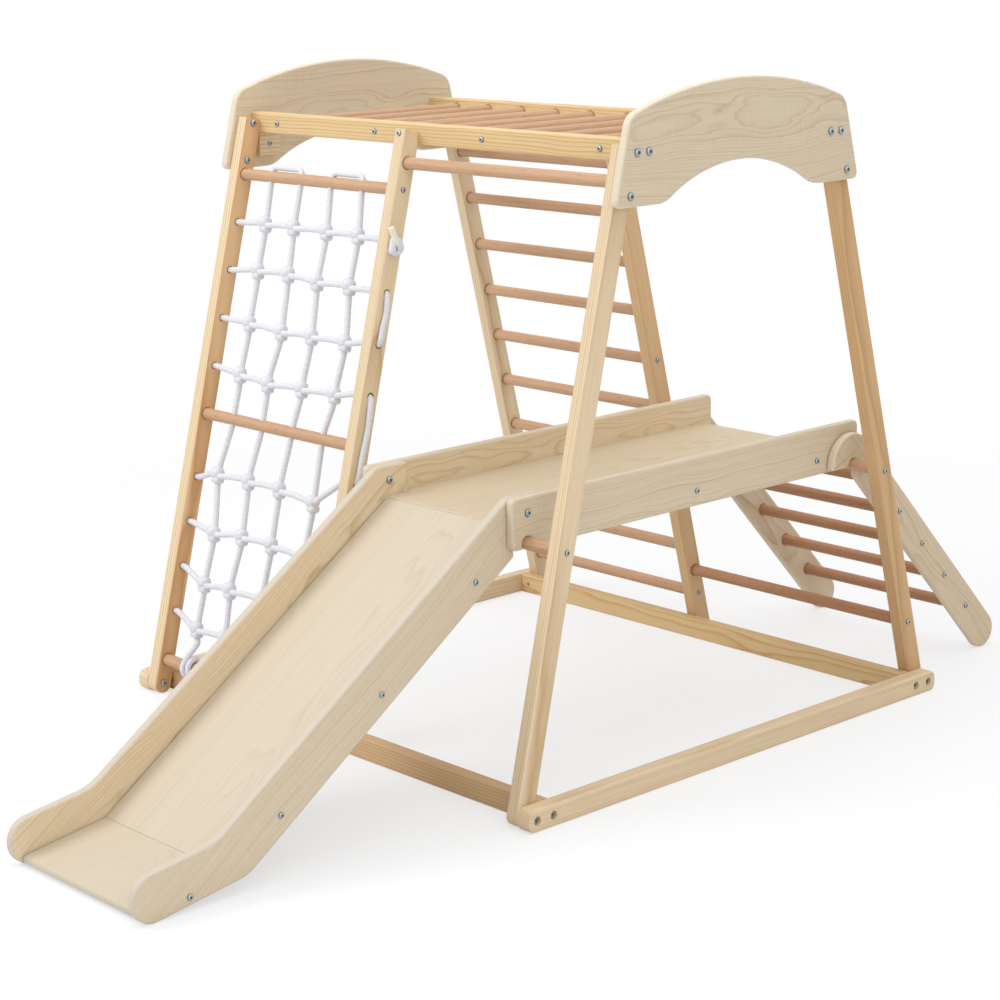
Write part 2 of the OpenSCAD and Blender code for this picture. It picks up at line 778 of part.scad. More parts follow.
module net_clips() {
    color(rope_white) post_frame(-1) for (r = [0 : len(row_z) - 1], k = [0 : 3]) net_clip(r, k);
}

// fasteners of the frame

module panel_bolts() {
    color(zinc) {
        at_panel_post_bolts() bolt(board_t + post_w);
        at_panel_rail_bolts() bolt(board_t + barrel_in + bite / 2);
    }
}

module cap_nuts() {
    color(zinc) at_inner_post_faces() cap_nut();
}

module base_bolts() {
    color(zinc) {
        at_base_post_bolts() bolt(side_rail_t - recess_depth + post_w);
        at_base_rail_bolts() bolt(side_rail_t - recess_depth + barrel_in + bite / 2);
    }
}

module barrel_nuts() {
    color(zinc) for (sx = [-1, 1], sy = [-1, 1]) {
        barrel(sx, sy * rail_mid, rail_z, rail_t - edge_r);
        barrel(sx, sy * long_mid, foot_z, long_rail_t - edge_r);
    }
}

module rung_bolts() {
    color(zinc) {
        at_rung_bolts() bolt(post_w - seat + bite - hole_gap, screw_head_d);
        at_bar_bolts() bolt(rail_t - seat + bite - hole_gap, screw_head_d);
        at_middle_rail_bolts() bolt(post_d, screw_head_d);
    }
}

module cleat_screws() {
    color(zinc) at_cleats() translate([cleat_size[0], cleat_size[1] / 2, -cleat_size[2] / 2])
        rotate([0, 90, 0]) bolt(cleat_size[0] + board_t / 2, screw_head_d);
}

// platform and slide

module at_slide_bolts() {
    for (sx = [-1, 1])
        translate([unit_x + sx * plat_half_w, -carry_y, (floor_top + plat_top) / 2])
            rotate([0, 90 * sx, 0]) children();
}

module at_floor_screws() {
    for (sx = [-1, 1], i = [-1, 0, 1])
        translate([unit_x + sx * plat_half_w, i * floor_screw_pitch, floor_top - floor_t / 2])
            rotate([0, 90 * sx, 0]) children();
}

module at_slide_screws() {
    for (sx = [-1, 1], y = slide_screw_y)
        translate([unit_x + sx * inner_half_w, -y, deck_z(-y) - slide_t / 2])
            rotate([0, 90 * sx, 0]) children();
}

function deck_z(y) = y > deck_bend[0] ? line_z(deck_p, slide_angle, y) : line_z(runout_p, runout_angle, y);

module platform_board(sx) {
    color(board) difference() {
        plate(unit_x + sx * plat_half_w - (sx > 0 ? board_t : 0), board_t) difference() {
            translate([0, plat_bottom + plat_h / 2]) round_rect(2 * plat_half_len, plat_h, plat_corner_r);
            for (sy = [-1, 1]) {
                translate([sy * carry_y, carry_z]) circle(hook_r);
                translate([sy * carry_y - hook_r, carry_z - cut]) square([2 * hook_r, cut]);
            }
        }
        at_slide_bolts() bolt_hole(2 * board_t);
        at_floor_screws() bolt_hole(board_t + bite);
    }
}

module platform_left_board() { platform_board(-1); }

module platform_right_board() { platform_board(1); }

// floor with its front corners cut away for the upper ends of the slide's side boards
module platform_floor() {
    notch = [board_t + joint_gap + overlap,
             floor_half_len - slide_end + joint_gap + overlap, floor_t + 2 * overlap];
    color(pale_board) difference() {
        translate([unit_x - inner_half_w, -floor_half_len, floor_bottom])
            cube([2 * inner_half_w, 2 * floor_half_len, floor_t]);
        for (x = [-inner_half_w - overlap, inner_half_w + overlap - notch[0]])
            translate([unit_x + x, -floor_half_len - overlap, floor_bottom - overlap]) cube(notch);
        at_floor_screws() bolt_hole(board_t + bite);
    }
}

module slide_board(sx) {
    step_low = [-slide_step, line_z(slope_low_p, slide_angle, -slide_step)];
    step_top = [-slide_step, floor_bottom];
    end_low = [-slide_end, floor_bottom];
    end_top = [-slide_end, plat_top];
    color(board) difference() {
        plate(unit_x + sx * inner_half_w - (sx > 0 ? board_t : 0), board_t) polygon(concat(
            [step_low, step_top, end_low],
            fillet(end_low, end_top, slope_p, plat_corner_r / 2),
            fillet(end_top, slope_p, bend_top, plat_corner_r * 2),
            fillet(slope_p, bend_top, foot_top_p, bend_top_r),
            arc(foot_c, foot_r, runout_angle + 90, runout_angle + 270, 2 * arc_steps),
            fillet(foot_low_p, bend_low, step_low, bend_low_r)));
        at_slide_bolts() bolt_hole(2 * board_t);
        at_slide_screws() bolt_hole(board_t + bite);
    }
}

module slide_left_board() { slide_board(-1); }

module slide_right_board() { slide_board(1); }

module slide_surface() {
    drop = slide_t / cos(slide_angle);
    color(pale_board) difference() {
        plate(unit_x - chute_half_w, 2 * chute_half_w) polygon([
            [deck_start, line_z(deck_p, slide_angle, deck_start)],
            deck_bend,
            deck_bend - [0, drop],
            [deck_start, line_z(deck_p, slide_angle, deck_start) - drop]]);
        at_slide_screws() bolt_hole(board_t + bite);
    }
}

module slide_runout() {
    drop = [0, slide_t / cos(runout_angle)];
    back = deck_bend - [joint_gap, joint_gap];
    front = [runout_end, line_z(runout_p, runout_angle, runout_end) - joint_gap];
    nose_share = 0.4;
    color(pale_board) difference() {
        plate(unit_x - chute_half_w, 2 * chute_half_w) polygon(concat(
            [back],
            fillet(back, front, front - drop, slide_t * nose_share),
            fillet(front, front - drop, back - drop, slide_t * nose_share),
            [back - drop]));
        at_slide_screws() bolt_hole(board_t + bite);
    }
}

module slide_bolts() {
    color(zinc) {
        at_slide_bolts() bolt(2 * board_t);
        at_slide_bolts() translate([0, 0, -2 * board_t]) rotate([180, 0, 0]) cap_nut();
    }
}

module deck_screws() {
    color(zinc) {
        at_floor_screws() bolt(board_t + bite, screw_head_d);
        at_slide_screws() bolt(board_t + bite, screw_head_d);
    }
}

// hook-on ladder

module at_ladder_bolts() {
    for (sx = [-1, 1], i = [0 : ladder_count - 1]) {
        p = [carry_y, carry_z] + ladder_at(ladder_first + i * ladder_pitch, ladder_mid);
        translate([unit_x + sx * (ladder_half_w + board_t), p[0], p[1]]) rotate([0, 90 * sx, 0]) children();
    }
}

module ladder_rail(sx) {
    way = 90 - ladder_angle;
    foot = ladder_at(ladder_len, ladder_mid);
    slot_low = -(ladder_under + hook_r * sin(ladder_angle)) / cos(ladder_angle);
    color(board) difference() {
        translate([0, carry_y, carry_z]) plate(unit_x + sx * ladder_half_w - (sx > 0 ? 0 : board_t), board_t)
            polygon(concat(
                arc([0, 0], ladder_head_r, 180, way, 2 * arc_steps),
                arc(foot, ladder_foot_r, way, way - 180, 2 * arc_steps),
                [[hook_r, slot_low]],
                arc([0, 0], hook_r, 0, 180),
                [[-hook_r, -ladder_lip], [-ladder_head_r, -ladder_lip]]));
        for (i = [0 : ladder_count - 1]) {
            p = [carry_y, carry_z] + ladder_at(ladder_first + i * ladder_pitch, ladder_mid);
            rod_x(unit_x - ladder_half_w - board_t / 2, unit_x + ladder_half_w + board_t / 2,
                  p[0], p[1], rung_hole_d);
        }
        at_ladder_bolts() bolt_hole(board_t);
    }
}

module ladder_left_rail() { ladder_rail(-1); }

module ladder_right_rail() { ladder_rail(1); }

module ladder_rung(i) {
    p = [carry_y, carry_z] + ladder_at(ladder_first + (i - 1) * ladder_pitch, ladder_mid);
    reach = ladder_half_w + board_t / 2;
    color(beech) difference() {
        rod_x(unit_x - reach, unit_x + reach, p[0], p[1]);
        at_ladder_bolts() bolt_hole(board_t / 2 + bite);
    }
}

module ladder_bolts() {
    color(zinc) at_ladder_bolts() bolt(board_t / 2 + bite - hole_gap, screw_head_d);
}

// one line per node

placed() front_left_post();
placed() front_middle_post();
placed() front_right_post();
placed() back_left_post();
placed() back_middle_post();
placed() back_right_post();
placed() front_top_rail();
placed() back_top_rail();
placed() left_end_panel();
placed() right_end_panel();
placed() left_base_rail();
placed() right_base_rail();
placed() front_base_rail();
placed() back_base_rail();
for (i = [1 : bar_count]) placed() monkey_bar(i);
placed() back_wall_rungs();
placed() net_top_rung();
placed() net_middle_rung();
placed() net_bottom_rung();
placed() front_grab_bar();
placed() front_carry_bar();
placed() back_carry_bar();
placed() back_low_rung();
placed() net_left_loop();
placed() net_right_loop();
placed() net_crossing_rope();
placed() net_clips();
placed() rail_cleats();
placed() panel_bolts();
placed() cap_nuts();
placed() base_bolts();
placed() barrel_nuts();
placed() rung_bolts();
placed() cleat_screws();
placed() platform_left_board();
placed() platform_right_board();
placed() platform_floor();
placed() slide_left_board();
placed() slide_right_board();
placed() slide_surface();
placed() slide_runout();
placed() slide_bolts();
placed() deck_screws();
placed() ladder_left_rail();
placed() ladder_right_rail();
for (i = [1 : ladder_count]) placed() ladder_rung(i);
placed() ladder_bolts();
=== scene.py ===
import math
import bpy
import numpy as np
from mathutils import Euler, Matrix, Vector


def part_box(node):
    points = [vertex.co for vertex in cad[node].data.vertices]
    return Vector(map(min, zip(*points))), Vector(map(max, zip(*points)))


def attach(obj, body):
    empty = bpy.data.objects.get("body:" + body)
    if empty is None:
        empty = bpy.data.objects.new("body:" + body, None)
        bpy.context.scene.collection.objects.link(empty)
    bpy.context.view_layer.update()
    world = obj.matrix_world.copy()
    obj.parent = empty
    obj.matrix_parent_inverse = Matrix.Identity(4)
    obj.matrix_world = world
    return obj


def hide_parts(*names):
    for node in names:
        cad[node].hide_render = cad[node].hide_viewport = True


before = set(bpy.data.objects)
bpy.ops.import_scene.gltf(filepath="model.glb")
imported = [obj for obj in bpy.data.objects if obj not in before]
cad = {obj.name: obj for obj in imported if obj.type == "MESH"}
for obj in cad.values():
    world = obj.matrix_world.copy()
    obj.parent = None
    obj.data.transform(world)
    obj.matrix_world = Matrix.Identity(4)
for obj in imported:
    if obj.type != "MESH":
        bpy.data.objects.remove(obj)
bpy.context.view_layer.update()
mm = 0.001
railLow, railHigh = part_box("left_base_rail")
shiftY = (railLow.y + railHigh.y) / 2 / mm  # the frame's middle plane, in millimetres of the row

# sizes that several pieces share, in millimetres; lean in degrees
frameSize = {
    "footY": 607.5, "footZ": 23.0, "lean": 13.55, "halfLength": 600.0, "middleX": -43.0,
    "postWide": 31.0, "postDeep": 45.0, "postTop": 1292.0, "railHigh": 46.0, "railThick": 30.0,
    "baseHigh": 46.0, "baseThick": 30.0, "board": 20.0, "rung": 26.0, "cord": 12.0, "carryZ": 515.0}
lean = frameSize["lean"]
leanRad = math.radians(lean)
leanSin, leanCos = math.sin(leanRad), math.cos(leanRad)
half, board = frameSize["halfLength"], frameSize["board"]
footY, footZ, carryZ = frameSize["footY"], frameSize["footZ"], frameSize["carryZ"]
rodRadius, cordRadius = frameSize["rung"] / 2, frameSize["cord"] / 2
midRight = frameSize["middleX"] + frameSize["postWide"] / 2
midLeft = frameSize["middleX"] - frameSize["postWide"] / 2
bayEdge = half - frameSize["postWide"]
unitX = (midRight + bayEdge) / 2
railZ = frameSize["postTop"] - frameSize["railHigh"] / 2


def postY(z):  # distance of a post's centre line from the middle plane at height z
    return footY - math.tan(leanRad) * (z - footZ)


halfPost = frameSize["postDeep"] / 2 / leanCos
railFace = postY(frameSize["postTop"] - frameSize["railHigh"]) - halfPost
railMid = railFace - frameSize["railThick"] / 2
longMid = postY(frameSize["baseHigh"]) - halfPost - frameSize["baseThick"] / 2
carryY = postY(carryZ)


# mesh helpers: arrays of millimetres in, finished pieces out
def toRow(points):  # millimetres about the middle plane to metres of the row
    points = np.asarray(points, float).reshape(-1, 3)
    return (points + np.array([0.0, shiftY, 0.0])) * mm


def gridFaces(rows, cols, start=0, capped=False, closeRows=False, flip=False):
    # each cell of a grid of points as one quad, wrapped round along each row; the end rows may be joined to
    # one another, or closed by a cap each
    r = np.arange(rows if closeRows else rows - 1)[:, None]
    c = np.arange(cols)[None, :]
    nr, nc = (r + 1) % rows, (c + 1) % cols
    quads = np.stack([r * cols + c, r * cols + nc, nr * cols + nc, nr * cols + c], -1).reshape(-1, 4) + start
    faces = (quads[:, ::-1] if flip else quads).tolist()
    if capped:
        last = start + (rows - 1) * cols
        faces += [list(range(start, start + cols))[::-1], list(range(last, last + cols))]
    return faces


def makePiece(name, points, faces, material, body, standsFor=(), marks=None, sharp=40.0):
    mesh = bpy.data.meshes.new(name)
    mesh.from_pydata(toRow(points).tolist(), [], faces)
    mesh.validate()
    mesh.polygons.foreach_set("use_smooth", np.ones(len(mesh.polygons), bool))
    if sharp:
        mesh.set_sharp_from_angle(angle=math.radians(sharp))
    for key, values in (marks or {}).items():
        mark = mesh.attributes.new(key, "FLOAT", "POINT")
        mark.data.foreach_set("value", np.asarray(values, np.float32))
    piece = bpy.data.objects.new(name, mesh)
    bpy.context.scene.collection.objects.link(piece)
    mesh.materials.append(material)
    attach(piece, body)
    if standsFor:
        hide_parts(*standsFor)
    return piece


def unit(vector):
    return vector / np.linalg.norm(vector)


def runAlong(path):  # distance from the start at each point
    return np.concatenate([[0], np.cumsum(np.linalg.norm(np.diff(path, axis=0), axis=1))])


def roundAngles(count):
    return np.linspace(0, 2 * math.pi, count, endpoint=False)


def direction(degrees):
    return np.array([math.cos(math.radians(degrees)), math.sin(math.radians(degrees))])


def arcPoints(centre, radius, start, end, steps=20):
    a = np.radians(np.linspace(start, end, steps + 1))
    return np.asarray(centre, float) + radius * np.stack([np.cos(a), np.sin(a)], -1)


def filletPoints(before, corner, after, radius, steps=8):
    # arc of that radius that touches both sides of the corner
    before, corner, after = (np.asarray(p, float) for p in (before, corner, after))
    u, v = unit(before - corner), unit(after - corner)
    halfAngle = math.acos(float(np.clip(u @ v, -1, 1))) / 2
    centre = corner + unit(u + v) * radius / math.sin(halfAngle)
    first, last = (corner + way * radius / math.tan(halfAngle) - centre for way in (u, v))
    start = math.degrees(math.atan2(first[1], first[0]))
    turn = (math.degrees(math.atan2(last[1], last[0])) - start + 180) % 360 - 180
    return arcPoints(centre, radius, start, start + turn, steps)


def lineAt(point, degrees, y):  # height at y of the line through a point at that slope
    return point[1] + math.tan(math.radians(degrees)) * (y - point[0])


def meetPoint(p, a, q, b):  # where the line through p at slope a meets the one through q at slope b
    ta, tb = math.tan(math.radians(a)), math.tan(math.radians(b))
    y = (q[1] - p[1] + ta * p[0] - tb * q[0]) / (ta - tb)
    return np.array([y, lineAt(p, a, y)])


def boardPiece(name, outline, span, edge, material, body, node, steps=5, level=False):
    # flat board: the outline, drawn in y and z, is carried along x over the span and shrinks along a quarter
    # circle at both faces, which rounds every edge; a level board is drawn in x and y and carried along z;
    # "rim" is 1 on the rounded edge and 0 on the faces
    shortest, sharpest = 1e-4, 0.3  # points closer than this are one; limit of the mitre at sharp corners
    pts = np.asarray(outline, float)
    pts = pts[np.linalg.norm(pts - np.roll(pts, 1, 0), axis=1) > shortest]
    area = np.sum(pts[:, 0] * np.roll(pts[:, 1], -1) - pts[:, 1] * np.roll(pts[:, 0], -1))
    pts = pts if area > 0 else pts[::-1]
    ahead = np.roll(pts, -1, 0) - pts
    ahead /= np.linalg.norm(ahead, axis=1, keepdims=True)
    outAhead = np.stack([ahead[:, 1], -ahead[:, 0]], -1)
    outBack = np.roll(outAhead, 1, 0)
    mitre = (outAhead + outBack) / np.maximum(1 + np.sum(outAhead * outBack, 1, keepdims=True), sharpest)
    low, high = min(span), max(span)
    a = np.linspace(0, math.pi / 2, steps + 1)
    inset = np.concatenate([edge * (1 - np.sin(a)), edge * (1 - np.sin(a))[::-1]])
    x = np.concatenate([low + edge * (1 - np.cos(a)), (high - edge * (1 - np.cos(a)))[::-1]])
    flat = pts[None] - mitre[None] * inset[:, None, None]
    grid = np.concatenate([np.broadcast_to(x[:, None, None], flat.shape[:2] + (1,)), flat], -1)
    grid = np.roll(grid, -1, -1) if level else grid
    rows, cols = grid.shape[:2]
    marks = {"rim": np.repeat(1 - inset / edge, cols)}
    piece = makePiece(name, grid, gridFaces(rows, cols, capped=True), material, body, [node], marks)
    for face in piece.data.polygons[-2:]:  # the flat faces
        face.use_smooth = False


def evenPath(curve, step):  # the same curve in even steps
    run = runAlong(curve)
    s = np.linspace(0, run[-1], max(4, int(run[-1] / step)))
    return np.stack([np.interp(s, run, curve[:, i]) for i in range(3)], -1)


def smoothPath(points, step):
    # Catmull-Rom curve through the points, then spaced evenly along its length
    p = np.asarray(points, float)
    p = np.concatenate([[2 * p[0] - p[1]], p, [2 * p[-1] - p[-2]]])
    t = np.linspace(0, 1, 24, endpoint=False)[None, :, None]
    a, b, c, d = (p[i:len(p) - 3 + i, None, :] for i in range(4))
    curve = 2 * b + (c - a) * t + (2 * a - 5 * b + 4 * c - d) * t ** 2 + (3 * b - a - 3 * c + d) * t ** 3
    return evenPath(np.concatenate([0.5 * curve.reshape(-1, 3), p[-2:-1]]), step)


def roundedPath(points, radius, most=0.45):
    # straight runs whose corners are replaced by short curves of that reach, at most that share of a run
    p = np.asarray(points, float)
    t = np.linspace(0, 1, 9)[:, None]
    out = [p[:1]]
    for before, corner, after in zip(p[:-2], p[1:-1], p[2:]):
        lengths = np.linalg.norm(before - corner), np.linalg.norm(after - corner)
        reach = min(radius, most * lengths[0], most * lengths[1])
        start, end = (corner + (q - corner) / n * reach for q, n in zip((before, after), lengths))
        out.append((1 - t) ** 2 * start + 2 * t * (1 - t) * corner + t ** 2 * end)
    return np.concatenate(out + [p[-1:]])


def metresOf(*paths):  # length of rope, as text
    return "%.2f" % (sum(runAlong(path)[-1] for path in paths) * mm)


def braidTube(path, ref, rope, start=0):
    # tube round the path whose radius rises over each strand of two opposite spirals, closed by a dome at
    # each end; the angle round it is counted from the direction ref
    tangent = np.gradient(path, axis=0)
    tangent /= np.linalg.norm(tangent, axis=1, keepdims=True)
    side = ref - np.sum(tangent * ref, 1, keepdims=True) * tangent
    side /= np.linalg.norm(side, axis=1, keepdims=True)
    over = np.cross(tangent, side)
    run = runAlong(path)
    a = roundAngles(rope["around"])[None]
    strand = rope["strands"] * a / 2
    turn = 2 * math.pi * run[:, None] / rope["lay"]
    lay = np.maximum(np.abs(np.cos(strand + turn)), np.abs(np.cos(strand - turn)))
    ends = np.minimum(run, run[-1] - run)[:, None]
    dome = np.sqrt(np.clip(1 - (1 - np.minimum(ends / rope["dome"], 1)) ** 2, 0.02, 1))
    radius = (rope["radius"] - rope["relief"] * (1 - lay)) * dome
    ring = np.cos(a)[..., None] * side[:, None] + np.sin(a)[..., None] * over[:, None]
    grid = path[:, None] + radius[..., None] * ring
    return grid.reshape(-1, 3), gridFaces(*grid.shape[:2], start, True), lay.reshape(-1)


# materials
class nodeTools:  # short ways to add and join the nodes of one tree
    def __init__(self, tree):
        self.tree = tree

    def add(self, kind, **values):
        node = self.tree.nodes.new(kind)
        for key, value in values.items():
            if key in node.bl_rna.properties:
                setattr(node, key, value)
            else:
                node.inputs[key].default_value = value
        return node

    def join(self, value, socket):  # an output is linked, a plain value is set
        if isinstance(value, bpy.types.NodeSocket):
            self.tree.links.new(value, socket)
        else:
            socket.default_value = value

    def calc(self, kind, *values):
        node = self.add("ShaderNodeMath", operation=kind)
        for value, socket in zip(values, node.inputs):
            self.join(value, socket)
        return node.outputs[0]

    def swing(self, value, gain):  # a value about 0.5 becomes one about 0
        return self.calc("MULTIPLY", self.calc("SUBTRACT", value, 0.5), gain)

    def line(self, value, gain, base):
        return self.calc("ADD", base, self.calc("MULTIPLY", value, gain))

    def blend(self, factor, a, b, kind="MIX"):
        node = self.add("ShaderNodeMix", data_type="RGBA", blend_type=kind)
        for i, value in ((0, factor), (6, a), (7, b)):
            self.join(value, node.inputs[i])
        return node.outputs[2]

    def split(self, value, kind="Color"):
        node = self.add("ShaderNodeSeparate" + kind)
        self.join(value, node.inputs[0])
        return node.outputs

    def noise(self, vector, scale, detail, rough=0.5):
        node = self.add("ShaderNodeTexNoise", Scale=scale, Detail=detail, Roughness=rough)
        self.join(vector, node.inputs["Vector"])
        return node.outputs

    def bump(self, height, strength, depth):
        node = self.add("ShaderNodeBump", Strength=strength, Distance=depth)
        self.join(height, node.inputs["Height"])
        return node.outputs[0]

    def ramp(self, factor, stops):
        node = self.add("ShaderNodeValToRGB")
        elements = node.color_ramp.elements
        while len(elements) < len(stops):
            elements.new(0.5)
        for element, (place, value) in zip(elements, stops):
            element.position = place
            element.color = (value, value, value, 1)
        self.join(factor, node.inputs[0])
        return node.outputs[0]


def newMaterial(name):
    material = bpy.data.materials.new(name)
    material.use_nodes = True
    tree = material.node_tree
    return material, nodeTools(tree), tree.nodes["Principled BSDF"].inputs


grainLook = {
    # noises: squeeze along and across the grain, scale, detail, roughness
    "slow": (0.34, 1.0, 6.0, 2.0, 0.5), "wave": (0.14, 1.0, 34.0, 2.0, 0.5),
    "fine": (0.012, 1.0, 900.0, 3.0, 0.65), "streak": (0.03, 1.0, 140.0, 2.0, 0.5),
    "speck": (0.09, 1.0, 420.0, 1.0, 0.5), "broad": (0.25, 1.0, 3.0, 1.0, 0.5),
    "weave": (1.0, 0.07, 420.0, 1.0, 0.5),
    "waveShare": 0.16, "streakShare": 0.8,
    # a year's line: its shade from the inside out, how years differ, and the faintest one
    "year": ((0.0, 0.25), (0.1, 0.0), (0.6, 0.08), (0.84, 0.5), (0.94, 1.0), (1.0, 0.25)),
    "yearScale": 0.45, "usualYear": 0.58, "yearGain": 1.85, "faintest": 0.15,
    "flecks": ((0.0, 0.0), (0.62, 0.0), (0.72, 1.0)), "shadePowers": (0.9, 1.0, 1.15),
    "lineHeight": -0.4, "fibreHeight": 0.6, "rough": (0.16, 0.46), "bump": (0.12, 0.0004), "specular": 0.35}


def grainGroup():
    # wood whose grain runs along x and whose heart is at y = z = 0: rings by distance from the heart, warped,
    # with fibres, flecks and slow changes of tint
    number, colour, vector = "NodeSocketFloat", "NodeSocketColor", "NodeSocketVector"
    tree = bpy.data.node_groups.new("woodGrain", "ShaderNodeTree")
    amounts = ("Ring", "Warp", "Contrast", "Fibre", "Fleck", "Tint", "Weave", "Vary")
    inputs = [("Vector", vector), ("Early", colour), ("Late", colour)] + [(key, number) for key in amounts]
    outputs = [("Colour", colour), ("Height", number), ("Roughness", number)]
    for way, sockets in (("INPUT", inputs), ("OUTPUT", outputs)):
        for key, kind in sockets:
            tree.interface.new_socket(key, in_out=way, socket_type=kind)
    get, out = tree.nodes.new("NodeGroupInput").outputs, tree.nodes.new("NodeGroupOutput").inputs
    nodes = nodeTools(tree)
    calc, swing, join = nodes.calc, nodes.swing, nodes.join

    def noiseAt(key):
        along, across, *values = grainLook[key]
        squeeze = nodes.add("ShaderNodeVectorMath", operation="MULTIPLY")
        join(get["Vector"], squeeze.inputs[0])
        join((along, across, across), squeeze.inputs[1])
        return nodes.noise(squeeze.outputs[0], *values)

    place = nodes.split(get["Vector"], "XYZ")
    bend, ripple = (nodes.split(noiseAt(key)["Color"]) for key in ("slow", "wave"))
    y = calc("ADD", place[1], swing(bend[0], get["Warp"]))
    z = calc("ADD", place[2], swing(bend[1], get["Warp"]))
    y = calc("ADD", y, swing(ripple[0], calc("MULTIPLY", get["Warp"], grainLook["waveShare"])))
    radius = calc("SQRT", calc("ADD", calc("MULTIPLY", y, y), calc("MULTIPLY", z, z)))
    age = calc("DIVIDE", radius, get["Ring"])
    years = nodes.add("ShaderNodeTexNoise", noise_dimensions="1D", Scale=grainLook["yearScale"], Detail=1.0)
    join(age, years.inputs["W"])
    year = nodes.split(years.outputs["Color"])
    rings = calc("FRACT", calc("ADD", age, swing(year[0], get["Vary"])))  # years differ in width
    strong = calc("SUBTRACT", year[1], grainLook["usualYear"])  # and in darkness
    strong = nodes.line(strong, calc("MULTIPLY", get["Vary"], grainLook["yearGain"]), 1.0)
    line = nodes.ramp(rings, grainLook["year"])
    line = calc("MULTIPLY", line, calc("MAXIMUM", strong, grainLook["faintest"]))
    kinds = ("fine", "streak", "speck", "broad", "weave")
    fine, streak, speck, broad, weave = (noiseAt(key)["Fac"] for key in kinds)
    base = nodes.blend(calc("MULTIPLY", line, get["Contrast"]), get["Early"], get["Late"])
    fibre = swing(streak, calc("MULTIPLY", get["Fibre"], grainLook["streakShare"]))
    fibre = calc("ADD", swing(fine, get["Fibre"]), fibre)
    soft = calc("ADD", swing(broad, get["Tint"]), swing(weave, get["Weave"]))
    level = calc("ADD", 1.0, calc("ADD", fibre, soft))
    level = calc("SUBTRACT", level, calc("MULTIPLY", nodes.ramp(speck, grainLook["flecks"]), get["Fleck"]))
    shade = nodes.add("ShaderNodeCombineColor")
    for i, power in enumerate(grainLook["shadePowers"]):
        join(calc("POWER", level, power), shade.inputs[i])
    join(nodes.blend(1.0, base, shade.outputs[0], "MULTIPLY"), out["Colour"])
    height = calc("MULTIPLY", fine, grainLook["fibreHeight"])
    join(nodes.line(line, grainLook["lineHeight"], height), out["Height"])
    join(nodes.line(fine, *grainLook["rough"]), out["Roughness"])
    return tree


woodGrain = grainGroup()
# linear colours of early and late wood; ring width and warp in metres; the rest are strengths
pineGrain = {"ring": 0.0072, "warp": 0.018, "contrast": 0.75, "fibre": 0.24, "fleck": 0.03, "tint": 0.14,
             "weave": 0.0, "vary": 0.6}
beechGrain = {"ring": 0.0095, "warp": 0.02, "contrast": 0.50, "fibre": 0.28, "fleck": 0.24, "tint": 0.30,
              "weave": 0.0, "vary": 0.8}
boardGrain = {"ring": 0.0050, "warp": 0.060, "contrast": 0.85, "fibre": 0.14, "fleck": 0.02, "tint": 0.05,
              "weave": 0.10, "vary": 1.3}
panelGrain = {**boardGrain, "ring": 0.0046, "warp": 0.062, "contrast": 0.50, "tint": 0.06, "weave": 0.11}
finishes = {
    "pine": {**pineGrain, "early": (0.77, 0.61, 0.405), "late": (0.50, 0.30, 0.135), "ring": 0.0064,
             "warp": 0.012, "contrast": 0.78, "fibre": 0.22, "tint": 0.10, "vary": 0.4},
    "warmPine": {**pineGrain, "early": (0.71, 0.485, 0.265), "late": (0.42, 0.225, 0.085)},
    "deepPine": {**pineGrain, "early": (0.62, 0.395, 0.195), "late": (0.37, 0.19, 0.065), "contrast": 0.70},
    "stripedPine": {**pineGrain, "early": (0.80, 0.635, 0.415), "late": (0.50, 0.285, 0.12), "ring": 0.0078,
                    "warp": 0.006, "contrast": 0.85, "fibre": 0.12, "fleck": 0.02, "tint": 0.12,
                    "vary": 0.35},
    "basePine": {**pineGrain, "early": (0.77, 0.61, 0.405), "late": (0.48, 0.285, 0.125), "ring": 0.0044,
                 "warp": 0.024, "contrast": 0.72, "fibre": 0.22, "tint": 0.12, "vary": 1.5},
    "railPine": {**pineGrain, "early": (0.735, 0.54, 0.287), "late": (0.52, 0.265, 0.075), "ring": 0.0074,
                 "warp": 0.034, "contrast": 0.80, "fibre": 0.18, "fleck": 0.02, "tint": 0.10},
    "beech": {**beechGrain, "early": (0.56, 0.345, 0.205), "late": (0.43, 0.235, 0.125)},
    # beech darkened as painted shade, for the rungs of the ladder and the low rung
    "shadedBeech": {**beechGrain, "early": (0.44, 0.225, 0.120), "late": (0.31, 0.145, 0.07), "fleck": 0.26},
    "board": {**panelGrain, "early": (0.68, 0.567, 0.41), "late": (0.46, 0.315, 0.165)},
    "litBoard": {**panelGrain, "early": (0.78, 0.64, 0.445), "late": (0.52, 0.355, 0.18), "contrast": 0.64},
    "warmBoard": {**boardGrain, "early": (0.66, 0.53, 0.36), "late": (0.43, 0.29, 0.145), "warp": 0.050,
                  "contrast": 0.52, "fibre": 0.12, "tint": 0.06, "weave": 0.12},
    "paleBoard": {**boardGrain, "early": (0.625, 0.525, 0.37), "late": (0.48, 0.35, 0.195), "contrast": 0.58,
                  "fibre": 0.12},
    "slideBoard": {**boardGrain, "early": (0.425, 0.362, 0.264), "late": (0.29, 0.195, 0.095)},
    "runoutBoard": {**boardGrain, "early": (0.377, 0.318, 0.218), "late": (0.29, 0.20, 0.105)}}
sandedEdge = {"colour": (0.79, 0.70, 0.565, 1), "share": 0.55}  # paler than the faces
slideEdge = {"colour": (0.60, 0.53, 0.44, 1), "share": 0.95}  # greyer
platformEdge = {"colour": (0.64, 0.55, 0.42, 1), "share": 0.9}  # much like the faces


